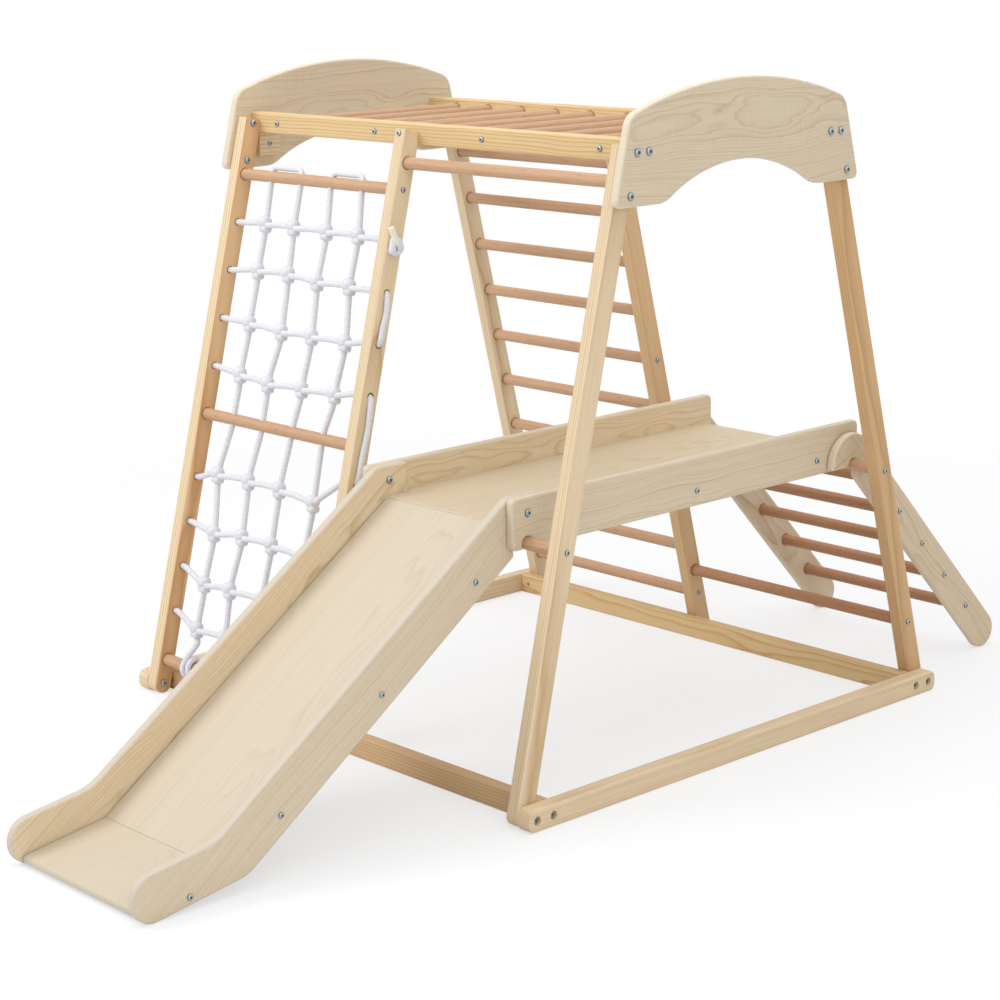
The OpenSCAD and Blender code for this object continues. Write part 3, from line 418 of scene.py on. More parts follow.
def woodMaterial(name, finish, turn, centre, pith, along=0.0, edge=sandedEdge, sideTint=None):
    # turn brings the piece's own grain to x; centre is a point of the piece in metres, and pith says how far
    # the heart of the tree lies from it, across the grain; sideTint colours the faces that look along x
    material, nodes, shader = newMaterial(name)
    where = nodes.add("ShaderNodeTexCoord").outputs
    angles = Euler([math.radians(t) for t in turn])
    start = Vector((along, *pith)) - angles.to_matrix() @ Vector(centre)
    turned = nodes.add("ShaderNodeMapping", Rotation=angles, Location=start)
    nodes.join(where["Object"], turned.inputs["Vector"])
    grain = nodes.add("ShaderNodeGroup", node_tree=woodGrain)
    nodes.join(turned.outputs[0], grain.inputs["Vector"])
    for key, value in finishes[finish].items():
        nodes.join((*value, 1) if isinstance(value, tuple) else value, grain.inputs[key.capitalize()])
    colour = grain.outputs["Colour"]
    if sideTint:
        facing = nodes.calc("ABSOLUTE", nodes.split(where["Normal"], "XYZ")[0])
        colour = nodes.blend(facing, colour, (*sideTint, 1), "MULTIPLY")
    rim = nodes.add("ShaderNodeAttribute", attribute_name="rim")
    soft = nodes.calc("MULTIPLY", rim.outputs["Fac"], edge["share"])
    nodes.join(nodes.blend(soft, colour, edge["colour"]), shader["Base Color"])
    nodes.join(grain.outputs["Roughness"], shader["Roughness"])
    nodes.join(nodes.bump(grain.outputs["Height"], *grainLook["bump"]), shader["Normal"])
    nodes.join(grainLook["specular"], shader["Specular IOR Level"])
    return material


def middleOf(name):  # centre of a CAD node, in metres
    low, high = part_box(name)
    return (low + high) / 2


ropeLook = {"fibre": (900.0, 2.0), "fibreAndValleyShade": (0.3, 0.85), "rough": (0.2, 0.62), "bump": (0.2, 0.0003),
            "sheen": 0.15}


def ropeMaterial(name, valley, crown):
    # white cord: painted shade makes the valleys between strands greyer than the crowns, mixed with fibre
    # noise, with a fine fibre bump
    material, nodes, shader = newMaterial(name)
    where = nodes.add("ShaderNodeTexCoord").outputs
    fibre = nodes.noise(where["Object"], *ropeLook["fibre"])["Fac"]
    lay = nodes.add("ShaderNodeAttribute", attribute_name="lay")
    # painted shade: the valley colour where the lay is low, varied by fibre noise
    fibreAndValleyShade = nodes.calc("MULTIPLY", lay.outputs["Fac"], nodes.line(fibre, *ropeLook["fibreAndValleyShade"]))
    nodes.join(nodes.blend(fibreAndValleyShade, valley, crown), shader["Base Color"])
    nodes.join(nodes.line(fibre, *ropeLook["rough"]), shader["Roughness"])
    nodes.join(nodes.bump(fibre, *ropeLook["bump"]), shader["Normal"])
    nodes.join(ropeLook["sheen"], shader["Sheen Weight"])
    return material


cloudy = {  # two colours, the scale and detail of the clouds between them, and gain and base of the roughness
    "boreShadow": {"dark": (0.10, 0.05, 0.025, 1), "pale": (0.20, 0.11, 0.055, 1), "clouds": (300.0, 2.0),
                   "rough": (0.2, 0.7), "metal": 0.0},
    "clipPlastic": {"dark": (0.66, 0.66, 0.71, 1), "pale": (0.74, 0.74, 0.78, 1), "clouds": (60.0, 2.0),
                    "rough": (0.12, 0.36), "metal": 0.0},
    "zincPlate": {"dark": (0.26, 0.34, 0.38, 1), "pale": (0.50, 0.59, 0.64, 1), "clouds": (240.0, 3.0),
                  # the last colour is painted shade, for the sockets and the feet of the heads
                  "rough": (0.22, 0.24), "metal": 1.0, "paintedShade": (0.05, 0.06, 0.065, 1)}}


def cloudMaterial(name):
    values = cloudy[name]
    material, nodes, shader = newMaterial(name)
    where = nodes.add("ShaderNodeTexCoord").outputs
    cloud = nodes.noise(where["Object"], *values["clouds"])["Fac"]
    colour = nodes.blend(cloud, values["dark"], values["pale"])
    if "paintedShade" in values:  # painted shade: 1 in the socket and where the head meets the wood
        paintedShade = nodes.add("ShaderNodeAttribute", attribute_name="paintedShade")
        colour = nodes.blend(paintedShade.outputs["Fac"], colour, values["paintedShade"])
    nodes.join(colour, shader["Base Color"])
    nodes.join(nodes.line(cloud, *values["rough"]), shader["Roughness"])
    nodes.join(values["metal"], shader["Metallic"])
    return material


boreDark = cloudMaterial("boreShadow")
ropeWhite = ropeMaterial("ropeBraid", (0.55, 0.55, 0.60, 1), (0.76, 0.76, 0.80, 1))
ropeEnd = ropeMaterial("ropeTape", (0.76, 0.74, 0.62, 1), (0.86, 0.84, 0.72, 1))
clipWhite = cloudMaterial("clipPlastic")
zinc = cloudMaterial("zincPlate")
print("materials made")

# CAD nodes that keep their shape get their finish here
alongX, alongY, tiltedY = (0, 0, 0), (0, 0, -90), (2.4, 0, -90)  # tilted: sawn a little across the grain
postTurn = {"front": (lean, 90, 0), "back": (-lean, 90, 0)}
sideTints = {"front_left_post": (1.05, 0.91, 0.78)}  # warmer and darker on the faces that look along x
postWood = {  # finish, and where the heart lies from the post's middle, in metres
    "front_left_post": ("stripedPine", (0.0, 0.342)), "front_middle_post": ("pine", (0.01, 0.392)),
    "front_right_post": ("pine", (-0.01, 0.442)), "back_left_post": ("pine", (-0.03, 0.492)),
    "back_middle_post": ("warmPine", (-0.05, 0.542)), "back_right_post": ("deepPine", (-0.07, 0.592))}
railWood = {  # finish, grain, and the heart again
    "front_top_rail": ("railPine", alongX, (0.05, 0.26)),
    "back_top_rail": ("railPine", alongX, (0.03, 0.29)),
    "front_base_rail": ("warmPine", alongX, (0.01, 0.32)),
    "back_base_rail": ("railPine", alongX, (0.075, 0.02)),
    "left_base_rail": ("basePine", alongY, (-0.03, 0.38)),
    "right_base_rail": ("basePine", alongY, (-0.05, 0.41)),
    "rail_cleats": ("pine", alongY, (-0.07, 0.44))}
cutApart = {"post": 0.9, "rail": 1.3}  # metres along the log from one piece to the next
finishOf = {"barrel_nuts": zinc}
for i, (name, (wood, pith)) in enumerate(postWood.items()):
    finishOf[name] = woodMaterial(name + "Pine", wood, postTurn[name.split("_")[0]], middleOf(name), pith,
                                  cutApart["post"] * i, sideTint=sideTints.get(name))
for i, (name, (wood, turn, pith)) in enumerate(railWood.items()):
    finishOf[name] = woodMaterial(name + "Pine", wood, turn, middleOf(name), pith, cutApart["rail"] * i)
beechX = woodMaterial("beechRungs", "beech", alongX, (0, 0, 0), (0.4, 0.15))
shadedBeech = woodMaterial("beechLadder", "shadedBeech", alongX, (0, 0, 0), (0.3, 0.25))
beechY = woodMaterial("beechBars", "beech", alongY, (0, 0, 0), (0.4, 0.15))
for name, node in cad.items():
    rod = ("rung" in name or "bar_" in name or name.endswith("_bar")) and not name.endswith("bolts")
    # the ladder's rungs and the low rung take the beech with painted shade
    rodWood = beechY if "monkey" in name else shadedBeech if "ladder" in name or "low" in name else beechX
    node.data.materials.clear()
    node.data.materials.append(finishOf.get(name) or (rodWood if rod else zinc))
print("frame finished")

# end panels
panel = {"bottom": 1164.0, "top": 1398.0, "shoulder": 1340.0, "over": 12.0, "cutRise": 69.0,
         "cutRadius": 411.0, "cornerRadius": 40.0, "cutCorner": 64.0, "footRadius": 14.0, "edge": 5.0,
         "archShare": 0.78, "cutShare": 0.82, "arcSteps": 40}  # shares of the arcs that corners leave


def panelOutline():
    # straight leaning sides, one arc over the top and one arc for the cut-out, corners rounded
    ends = panel["bottom"], panel["shoulder"]
    low, high = (np.array([postY(z) + halfPost + panel["over"], z]) for z in ends)
    rise, steps = panel["top"] - panel["shoulder"], panel["arcSteps"]
    radius = (high[0] ** 2 + rise ** 2) / (2 * rise)
    reach = math.degrees(math.asin(high[0] / radius)) * panel["archShare"]
    arch = arcPoints((0, panel["top"] - radius), radius, 90 - reach, 90 + reach, steps)
    cutRise, cutRadius = panel["cutRise"], panel["cutRadius"]
    cut = np.array([math.sqrt(2 * cutRadius * cutRise - cutRise ** 2), panel["bottom"]])
    reach = math.degrees(math.asin(cut[0] / cutRadius)) * panel["cutShare"]
    arcCut = arcPoints((0, panel["bottom"] + cutRise - cutRadius), cutRadius, 90 + reach, 90 - reach, steps)
    other = np.array([-1.0, 1.0])
    return np.concatenate([
        filletPoints(low, high, arch[0], panel["cornerRadius"]), arch,
        filletPoints(arch[-1], high * other, low * other, panel["cornerRadius"]),
        filletPoints(high * other, low * other, cut * other, panel["footRadius"]),
        filletPoints(low * other, cut * other, arcCut[0], panel["cutCorner"]), arcCut,
        filletPoints(arcCut[-1], cut, low, panel["cutCorner"]),
        filletPoints(cut, low, high, panel["footRadius"])])


rightMiddle, leftMiddle = middleOf("right_end_panel"), middleOf("left_end_panel")
panelRight = woodMaterial("boardRightPanel", "board", alongY, rightMiddle, (0.085, -0.035), 3.1)
panelLeft = woodMaterial("boardLeftPanel", "board", alongY, leftMiddle, (-0.11, 0.02), 7.4)
for side, label, wood in ((-1, "left", panelLeft), (1, "right", panelRight)):
    boardPiece(label + "EndPanel", panelOutline(), (side * half, side * (half + board)), panel["edge"], wood,
               "frame", label + "_end_panel")
print("end panels made")

# platform and slide
platform = {"halfWide": 223.5, "halfLong": 530.0, "high": 103.0, "hookDepth": 11.0, "hookGap": 0.4,
            "corner": 12.0, "floorThick": 16.0, "floorHalf": 499.0, "edge": 5.0}
slide = {"runout": 8.0, "runoutLong": 182.5, "wide": 106.0, "footWide": 90.0, "tip": 1426.0, "end": 437.0,
         "shoulder": 520.0, "depth": 66.0, "thick": 15.0, "runoutBack": 22.0, "topBend": 110.0,
         "lowBend": 90.0, "screws": (0.1, 0.368, 0.639, 0.868), "gap": 2.4, "joint": 0.6, "edge": 5.0,
         "deckEdge": 1.2, "nose": 6.0}
platLow = carryZ - platform["hookDepth"]
platTop = platLow + platform["high"]
hookRadius = rodRadius + platform["hookGap"]
floorLow = carryZ + hookRadius
floorTop = floorLow + platform["floorThick"]
innerHalf = platform["halfWide"] - board
chuteHalf = innerHalf - board


def platformOutline():
    # long board with rounded corners and two hook slots, open below, over the carrying bars
    y = platform["halfLong"]
    box = np.array([(-y, platLow), (y, platLow), (y, platTop), (-y, platTop)])
    corners = [filletPoints(box[i - 1], box[i], box[(i + 1) % 4], platform["corner"]) for i in range(4)]

    def slot(middle):
        arch = arcPoints((middle, carryZ), hookRadius, 180, 0, 16)
        return np.concatenate([[(middle - hookRadius, platLow)], arch, [(middle + hookRadius, platLow)]])

    return np.concatenate([corners[0], slot(-carryY), slot(carryY), *corners[1:]])


runout = slide["runout"]
footR = slide["footWide"] / 2
footC = np.array([-slide["tip"] + footR, footR])
footTop, footLow = footC + footR * direction(runout + 90), footC + footR * direction(runout - 90)
bendY = -slide["tip"] + slide["runoutLong"]
bendTop = np.array([bendY, lineAt(footTop, runout, bendY)])
slopeP = np.array([-slide["shoulder"], platTop])
slopeAngle = math.degrees(math.atan2(slopeP[1] - bendTop[1], slopeP[0] - bendTop[0]))
down = direction(slopeAngle - 90)
slopeLow, deckP = slopeP + slide["wide"] * down, slopeP + slide["depth"] * down
runoutP = footTop + slide["depth"] * direction(runout - 90)
bendLow = meetPoint(slopeLow, slopeAngle, footLow, runout)
deckBend = meetPoint(deckP, slopeAngle, runoutP, runout)
stepY = -(carryY + rodRadius + platform["hookDepth"] / 2)


def slideOutline():
    # level shoulder on the platform, long slope, bend and round foot
    stepLow, stepTop = (stepY, lineAt(slopeLow, slopeAngle, stepY)), (stepY, floorLow)
    endLow, endTop = (-slide["end"], floorLow), (-slide["end"], platTop)
    return np.concatenate([
        [stepLow, stepTop, endLow],
        filletPoints(endLow, endTop, slopeP, platform["corner"] / 2),
        filletPoints(endTop, slopeP, bendTop, platform["corner"] * 2),
        filletPoints(slopeP, bendTop, footTop, slide["topBend"], 14),
        arcPoints(footC, footR, runout + 90, runout + 270, 32),
        filletPoints(footLow, bendLow, stepLow, slide["lowBend"], 14)])


slopeTurn = (-slopeAngle, 0, -90)
unitMiddle = toRow([(unitX, 0, platTop)])[0]
slopeMiddle = toRow([(unitX, *((slopeP + bendTop) / 2 + down * slide["wide"] / 2))])[0]
deckMiddle = toRow([(unitX, *((deckP + deckBend) / 2))])[0]
slopeLeft = woodMaterial("boardSlideLeft", "litBoard", slopeTurn, slopeMiddle, (-0.10, 0.025), 1.7, slideEdge)
slopeRight = woodMaterial("boardSlideRight", "board", slopeTurn, slopeMiddle, (0.13, 0.12), 5.3, slideEdge)
deckPale = woodMaterial("paleSlope", "slideBoard", slopeTurn, deckMiddle, (0.05, 0.11), 2.2)
deckLevel = woodMaterial("paleLevel", "paleBoard", alongY, unitMiddle, (-0.05, 0.16), 4.1)
deckEnd = woodMaterial("paleRunout", "runoutBoard", alongY, unitMiddle, (0.03, 0.70), 9.3)
platLeft = woodMaterial("boardPlatformLeft", "litBoard", tiltedY, unitMiddle, (-0.10, 0.05), 0.6,
                        platformEdge)
platRight = woodMaterial("boardPlatformRight", "board", alongY, unitMiddle, (0.12, 0.18), 6.2, platformEdge)
unitSides = ((-1, "left", slopeLeft, platLeft), (1, "right", slopeRight, platRight))
for side, label, slideWood, platWood in unitSides:
    outer, inner, chute = (unitX + side * reach for reach in (platform["halfWide"], innerHalf, chuteHalf))
    boardPiece(label + "PlatformBoard", platformOutline(), (outer, inner), platform["edge"], platWood,
               "slide_unit", "platform_" + label + "_board")
    boardPiece(label + "SlideBoard", slideOutline(), (inner, chute), slide["edge"], slideWood,
               "slide_unit", "slide_" + label + "_board")


def paleBoard(name, outline, span, wood, node, level=False):
    boardPiece(name, outline, span, slide["deckEdge"], wood, "slide_unit", node, 3, level)


joint, floorHalf = slide["joint"], platform["floorHalf"]
notchX, notchY = chuteHalf - joint, -slide["end"] + joint
floorPlan = np.array([
    (-notchX, -floorHalf), (notchX, -floorHalf), (notchX, notchY), (innerHalf, notchY),
    (innerHalf, floorHalf), (-innerHalf, floorHalf), (-innerHalf, notchY), (-notchX, notchY)])
paleBoard("platformFloor", floorPlan + (unitX, 0), (floorLow, floorTop), deckLevel, "platform_floor", True)
chuteSpan = (unitX - chuteHalf + slide["gap"], unitX + chuteHalf - joint)
deckDrop, runDrop = (np.array([0, slide["thick"] / math.cos(math.radians(a))]) for a in (slopeAngle, runout))
deckStart = np.array([-floorHalf - joint, lineAt(deckP, slopeAngle, -floorHalf - joint)])
deckOutline = [deckStart, deckBend, deckBend - deckDrop, deckStart - deckDrop]
paleBoard("slideSurface", deckOutline, chuteSpan, deckPale, "slide_surface")
runBack = deckBend - joint
runEnd = -slide["tip"] + slide["runoutBack"]
runFront = np.array([runEnd, lineAt(runoutP, runout, runEnd) - joint])
runOutline = np.concatenate([
    [runBack], filletPoints(runBack, runFront, runFront - runDrop, slide["nose"]),
    filletPoints(runFront, runFront - runDrop, runBack - runDrop, slide["nose"]), [runBack - runDrop]])
paleBoard("slideRunout", runOutline, chuteSpan, deckEnd, "slide_runout")
print("platform and slide made")

# ladder
ladder = {"angle": 46.8, "head": 70.0, "under": 12.0, "lip": 4.0, "first": 87.0, "pitch": 123.0, "count": 5,
          "gap": 1.0, "edge": 5.0, "middle": 340.0}
ladderMid = (ladder["head"] - ladder["under"]) / 2
ladderFoot = (ladder["head"] + ladder["under"]) / 2
ladderHalf = platform["halfWide"] + ladder["gap"]
bar = np.array([carryY, carryZ])


def ladderAt(run, rise):  # point in y and z, from the carrying bar: along the rail, and square to it
    return bar + run * direction(-ladder["angle"]) + rise * direction(90 - ladder["angle"])


def ladderOutline():
    # round head about the bar, straight rail, round foot, and a hook slot open below the bar
    tilt = math.radians(ladder["angle"])
    run = (bar[1] + ladderMid * math.cos(tilt) - ladderFoot) / math.sin(tilt)
    way = 90 - ladder["angle"]
    slotLow = -(ladder["under"] + hookRadius * math.sin(tilt)) / math.cos(tilt)
    return np.concatenate([
        arcPoints(bar, ladder["head"], 180, way, 30),
        arcPoints(ladderAt(run, ladderMid), ladderFoot, way, way - 180, 30),
        [bar + (hookRadius, slotLow)],
        arcPoints(bar, hookRadius, 0, 180, 16),
        [bar + (-hookRadius, -ladder["lip"]), bar + (-ladder["head"], -ladder["lip"])]])


ladderTurn = (ladder["angle"], 0, -90)
ladderMiddle = toRow([(unitX, *ladderAt(ladder["middle"], ladderMid))])[0]
ladderWood = woodMaterial("boardLadder", "warmBoard", ladderTurn, ladderMiddle, (0.32, 0.03), 11.2)
for side, label in ((-1, "left"), (1, "right")):
    near, far = unitX + side * ladderHalf, unitX + side * (ladderHalf + board)
    boardPiece(label + "LadderRail", ladderOutline(), (near, far), ladder["edge"], ladderWood,
               "ladder", "ladder_" + label + "_rail")
print("ladder made")

# rope net, drawn in the plane of the front posts: x along the frame, off square to the plane, w up along it
net = {
    "rungs": (1155.0, 621.0, 75.0), "first": 99.0, "pitch": 104.0, "columns": 4, "gap": 0.2, "barClear": 4.0,
    "upperRows": 4, "lowerRows": 4, "lowerFirst": 140.0, "lowerPitch": 99.0,
    "rise": (0.33, 0.67, -0.08, -0.58, 0.92, -1.08, -1.92, -2.17),  # of each row's clips, in rope widths
    # clips pushed along their row
    "sway": ((4, 0, 9, 11), (4, 7, 5, 9), (4, 15, 15, 24), (0, -3, 10, 17),
             (-22, -16, -11, 4), (-3, -8, -8, 0), (-8, -20, -12, 0), (-9, -12, -6, 0)),
    # and along their column
    "slip": ((0, 0, 0, 0), (0, 2, -6, -5), (0, -7, -5, -6), (0, -9, -5, -3),
             (6, 8, 7, -4), (3, 12, 12, 4), (0, 3, 3, 0), (3, 3, 0, 0))}
rope = {"radius": 6.7, "around": 24, "strands": 8, "lay": 30.0, "relief": 0.55, "dome": 4.0, "step": 1.7}
column = {"clip": ((2, 0, -17), (0, 0, 14)), "rung": ((0, 0, -14), (0, 0, 14)), "bend": 18.0,
          "over": (-1.0, 2.0)}  # off and up from the top rung's ring
hitch = {"lead": ((0, 0, 58), (-3, -7, 42), (-10, -16, 22)), "tail": ((10, 13, 16), (1, 12.5, 21)),
         "left": -15.0, "spread": 28.0, "turn": (180, 690), "count": 40, "step": 1.0}
row = {"before": 18.0, "inside": (2, -2, -2), "after": ((15, -6.5, -4), (30, -4.5, -2), (52, -1, 0)),
       "fromPost": 12.0, "proud": 1.0, "bend": 11.0,
       "bow": ((0.12, -1), (0.35, 2), (0.7, -2), (0.9, -2))}  # share of the outside run, and off
stopper = {"cross": ((0, 0, 0), (12, 4, -14), (17, -4, -6), (13, -15, 8)),
           "tail": ((17, -7, -6), (15, -31, 28)), "middle": (9.0, -4.0, -9.0), "size": (4.5, 12.0, 15.0),
           "weave": 1.5, "turn": (-0.6, 2 * math.pi + 1.0), "count": 70, "step": 1.2, "ref": (1.0, 0.1, 0.2),
           "tape": {"relief": 0.15, "dome": 1.0}}


def netW(z):  # height to distance along the leaning plane
    return (z - footZ) / leanCos


def netPoint(x, off, w):
    x, off, w = np.broadcast_arrays(*(np.asarray(v, float) for v in (x, off, w)))
    y = -footY + off * leanCos + w * leanSin
    z = footZ - off * leanSin + w * leanCos
    return np.stack([x, y, z], -1)


def netPoints(points, at=(0, 0, 0)):  # listed points of the plane, from a place in it
    return netPoint(*(np.array(points, float) + at).T)


planeNormal = np.array([0, leanCos, -leanSin])
netTop, netMiddle, netBottom = net["rungs"]
firstLower = net["upperRows"]
upperPitch = (netTop - netMiddle) / (net["upperRows"] + 1)
rowZ = [netTop - (i + 1) * upperPitch for i in range(net["upperRows"])]
rowZ += [netMiddle - net["lowerFirst"] - i * net["lowerPitch"] for i in range(net["lowerRows"])]
carryClear = carryZ + rodRadius + 2 * cordRadius + net["barClear"]  # hole above the platform's carrying bar
rightZ = [carryClear if i == firstLower else z for i, z in enumerate(rowZ)]
colX = [-bayEdge + net["first"] + k * net["pitch"] for k in range(net["columns"])]
outReach = rope["radius"] + net["gap"]
ringR = rodRadius + outReach


def clipPlace(r, k):
    w = netW(rowZ[r] + net["rise"][r] * 2 * cordRadius)
    return colX[k] + net["sway"][r][k], w + net["slip"][r][k]


def columnPoints(k):
    # up one column: in at the foot of each clip, out of its top, and straight through the middle rung
    pts = []
    for r in range(len(rowZ))[::-1]:
        x, w = clipPlace(r, k)
        pts += [(x + dx, off, w + up) for dx, off, up in column["clip"]]
        if r == firstLower:
            pts += [(colX[k] + dx, off, netW(netMiddle) + up) for dx, off, up in column["rung"]]
    return pts


def hitchPath(x):
    # twice round the bottom rung, led in from above and tucked back up
    w, count = netW(netBottom), hitch["count"]
    t = np.radians(np.linspace(*hitch["turn"], count))
    across = x + hitch["left"] + hitch["spread"] * np.linspace(0, 1, count)
    turn = netPoint(across, ringR * np.cos(t), w + ringR * np.sin(t))
    lead, tail = (netPoints(hitch[key], (x, 0, w)) for key in ("lead", "tail"))
    return smoothPath(np.concatenate([lead, turn, tail]), hitch["step"])


def loopPath(cols):
    # up one column, over the top rung and down the next, hitched round the bottom rung at both ends
    (xa, xb), topW, (off, up) = (colX[k] for k in cols), netW(netTop) + ringR, column["over"]
    over = [(xa, 0, topW - 2 * ringR), (xa, off, topW + up), (xb, off, topW + up), (xb, 0, topW - 2 * ringR)]
    points = columnPoints(cols[0]) + over + columnPoints(cols[1])[::-1]
    bight = roundedPath(netPoints(points), column["bend"])
    return evenPath(np.concatenate([hitchPath(xa)[::-1], bight, hitchPath(xb)]), rope["step"])


def ropePiece(name, runs, material, standsFor=()):
    # runs: path of each rope, the direction its braid is counted from, and its values
    parts, start = [], 0
    for path, ref, values in runs:
        parts.append(braidTube(path, np.asarray(ref), values, start))
        start += len(parts[-1][0])
    points, lay = (np.concatenate([part[i] for part in parts]) for i in (0, 2))
    faces = [face for part in parts for face in part[1]]
    makePiece(name, points, faces, material, "frame", standsFor, {"lay": lay}, 0)


loopRef = planeNormal * 0.3 + np.array([1.0, 0, 0])  # never along the rope
for label, cols in (("left", (0, 1)), ("right", (2, 3))):
    path = loopPath(cols)
    print(label + " net loop, metres of rope:", metresOf(path))
    ropePiece(label + "NetLoop", [(path, loopRef, rope)], ropeWhite, ["net_" + label + "_loop"])


def rowPoints(r):
    # from left to right: into each clip at mid-depth, out of its front, back to mid-depth on the way
    left, right = netW(rowZ[r]), netW(rightZ[r])
    lastX = midLeft - row["fromPost"]
    pts = [(-half - outReach, 0, left), (-bayEdge + row["fromPost"], 0, left)]
    stops = [clipPlace(r, k) for k in range(net["columns"])] + [(lastX, right)]
    for (x, w), (nextX, nextW) in zip(stops[:-1], stops[1:]):
        slope = (nextW - w) / (nextX - x)
        dx, off, up = row["inside"]
        pts += [(x - row["before"], 0, w), (x + dx, off, w + up)]
        pts += [(x + dx, off, w + slope * dx + up) for dx, off, up in row["after"]]
    return pts + [(lastX, 0, right), (midRight + row["proud"], 0, right)]


def stopperPath(w):
    # overhand knot on the post's face: one turn that winds over and under itself, then a short cut tail that
    # comes out of the turn and leans up and to the front
    t = np.linspace(*stopper["turn"], stopper["count"])
    wind = np.stack([np.sin(stopper["weave"] * t), np.sin(t), -np.cos(t)], -1)
    knot = np.concatenate([stopper["cross"], stopper["middle"] + wind * stopper["size"]])
    return netPoints(knot, (midRight, 0, w)), netPoints(stopper["tail"], (midRight, 0, w))


def crossingPath():
    # one rope to and fro through the posts, row by row from the top
    route = []
    for r in range(len(rowZ)):
        route += rowPoints(r)[::-1] if r % 2 == 0 else rowPoints(r)
        if r % 2 and r < len(rowZ) - 1:  # outside run on the middle post, proud of the holes at both ends
            high, low = netW(rightZ[r]), netW(rightZ[r + 1])
            route += [(midRight + outReach, off, high + share * (low - high)) for share, off in row["bow"]]
    return evenPath(roundedPath(netPoints(route), row["bend"]), rope["step"])


path = crossingPath()
print("crossing rope without its knots, metres:", metresOf(path))
runs, tails = [(path, planeNormal, rope)], []
for z in (rightZ[0], rightZ[-1]):
    knot, tail = stopperPath(netW(z))
    knot, tail = smoothPath(knot, stopper["step"]), evenPath(tail, stopper["step"])
    print("stopper knot, metres of rope:", metresOf(knot, tail))
    runs.append((knot, stopper["ref"], rope))
    tails.append((tail, (1.0, 0, 0), {**rope, **stopper["tape"]}))
ropePiece("crossingRope", runs, ropeWhite, ["net_crossing_rope"])
ropePiece("ropeTails", tails, ropeEnd)

# moulded clips where the ropes cross: middle, half-sizes and power of each form
clip = {"forms": (((-1.0, -2.5, 2.0), (15.2, 15.0, 14.6), 2.3),
                  ((2.0, -1.0, -12.5), (13.0, 12.6, 8.6), 3.0),
                  ((-14.0, -0.5, 1.0), (8.0, 8.8, 8.8), 3.4)),
        "around": 40, "up": 22, "pole": 0.02, "sharp": 50}


def clipShape():
    # three rounded forms, each the surface where |x/a|^n + |y/b|^n + |z/c|^n = 1: a ball in front, a collar
    # below it and a sleeve on the left
    a = roundAngles(clip["around"])[None]
    b = np.linspace(clip["pole"], math.pi - clip["pole"], clip["up"])[:, None]
    d = np.stack([np.sin(b) * np.cos(a), np.cos(b) + 0 * a, np.sin(b) * np.sin(a)], -1)
    reach = [(np.sum(np.abs(d / size) ** n, -1) ** (-1 / n))[..., None] for at, size, n in clip["forms"]]
    return [form[0] + d * r for form, r in zip(clip["forms"], reach)]


clipPoints, clipFaces = [], []
for r in range(len(rowZ)):
    for k in range(net["columns"]):
        x, w = clipPlace(r, k)
        for form in clipShape():
            start = len(clipPoints) * clip["around"] * clip["up"]
            clipPoints.append(netPoint(x + form[..., 0], form[..., 1], w + form[..., 2]).reshape(-1, 3))
            clipFaces += gridFaces(clip["up"], clip["around"], start, True)
makePiece("netClips", np.concatenate(clipPoints), clipFaces, clipWhite, "frame", ["net_clips"], None,
          clip["sharp"])
print("net made")

# bores: painted shade of the shadowed edge of each drilled hole, a thin dark ring on the wood round the rod
# or rope
bore = {"rung": (0.2, 1.5), "rope": (-2.0, 2.6), "proud": 0.16, "around": 40, "across": 8}
wall = {"top": 1157.0, "pitch": 117.3, "count": 10}
backZ = [wall["top"] - wall["pitch"] * i for i in range(wall["count"])]
grabZ, lowZ = (middleOf(name).z / mm for name in ("front_grab_bar", "back_low_rung"))
leftBay, rightBay = (-bayEdge, midLeft), (midRight, bayEdge)
barX = [middleOf("monkey_bar_%d" % (i + 1)).x / mm for i in range(10)]
rungSpots = [ladderAt(ladder["first"] + i * ladder["pitch"], ladderMid) for i in range(ladder["count"])]
rodPlaces = [(leftBay, -1, z) for z in net["rungs"]] + [(leftBay, 1, z) for z in backZ]
rodPlaces += [(rightBay, sy, z) for sy, z in ((-1, grabZ), (-1, carryZ), (1, carryZ), (1, lowZ))]
wallBores = [((x, sy * postY(z), z), rodRadius, "rung") for bay, sy, z in rodPlaces for x in bay]
for heights, faceX in ((rowZ, (-half, -bayEdge)), (rightZ, (midLeft, midRight))):
    wallBores += [(netPoint(x, 0, netW(z)), cordRadius, "rope") for z in heights for x in faceX]
railInner = railFace - frameSize["railThick"]
barBores = [((x, sy * railInner, railZ), rodRadius, "rung") for x in barX for sy in (-1, 1)]
ladderBores = [((unitX + s * ladderHalf, *spot), rodRadius, "rung") for s in (-1, 1) for spot in rungSpots]


def boresPiece(name, places, body, turn):
    # flat ring: an ellipse of half-widths (wide, proud) carried round the hole in the plane of the wood's
    # face; the face looks along x, or after one turn along y
    around, across = bore["around"], bore["across"]
    a, c = roundAngles(around)[:, None], roundAngles(across)[None]
    points, faces = [], []
    for i, (at, radius, kind) in enumerate(places):
        low, high = bore[kind]
        r = radius + (low + high) / 2 + (high - low) / 2 * np.cos(c)
        ring = np.stack([bore["proud"] * np.sin(c) + 0 * a, r * np.cos(a), r * np.sin(a)], -1)
        points.append(np.roll(ring, turn, -1).reshape(-1, 3) + np.array(at))
        faces += gridFaces(around, across, i * around * across, closeRows=True, flip=True)
    # the rings carry the boreShadow material: painted shade
    makePiece(name, np.concatenate(points), faces, boreDark, body)


boresPiece("boreShadeRings", wallBores, "frame", 0)
boresPiece("barBoreShadeRings", barBores, "frame", 1)
boresPiece("ladderBoreShadeRings", ladderBores, "ladder", 0)
print("bore rims made")

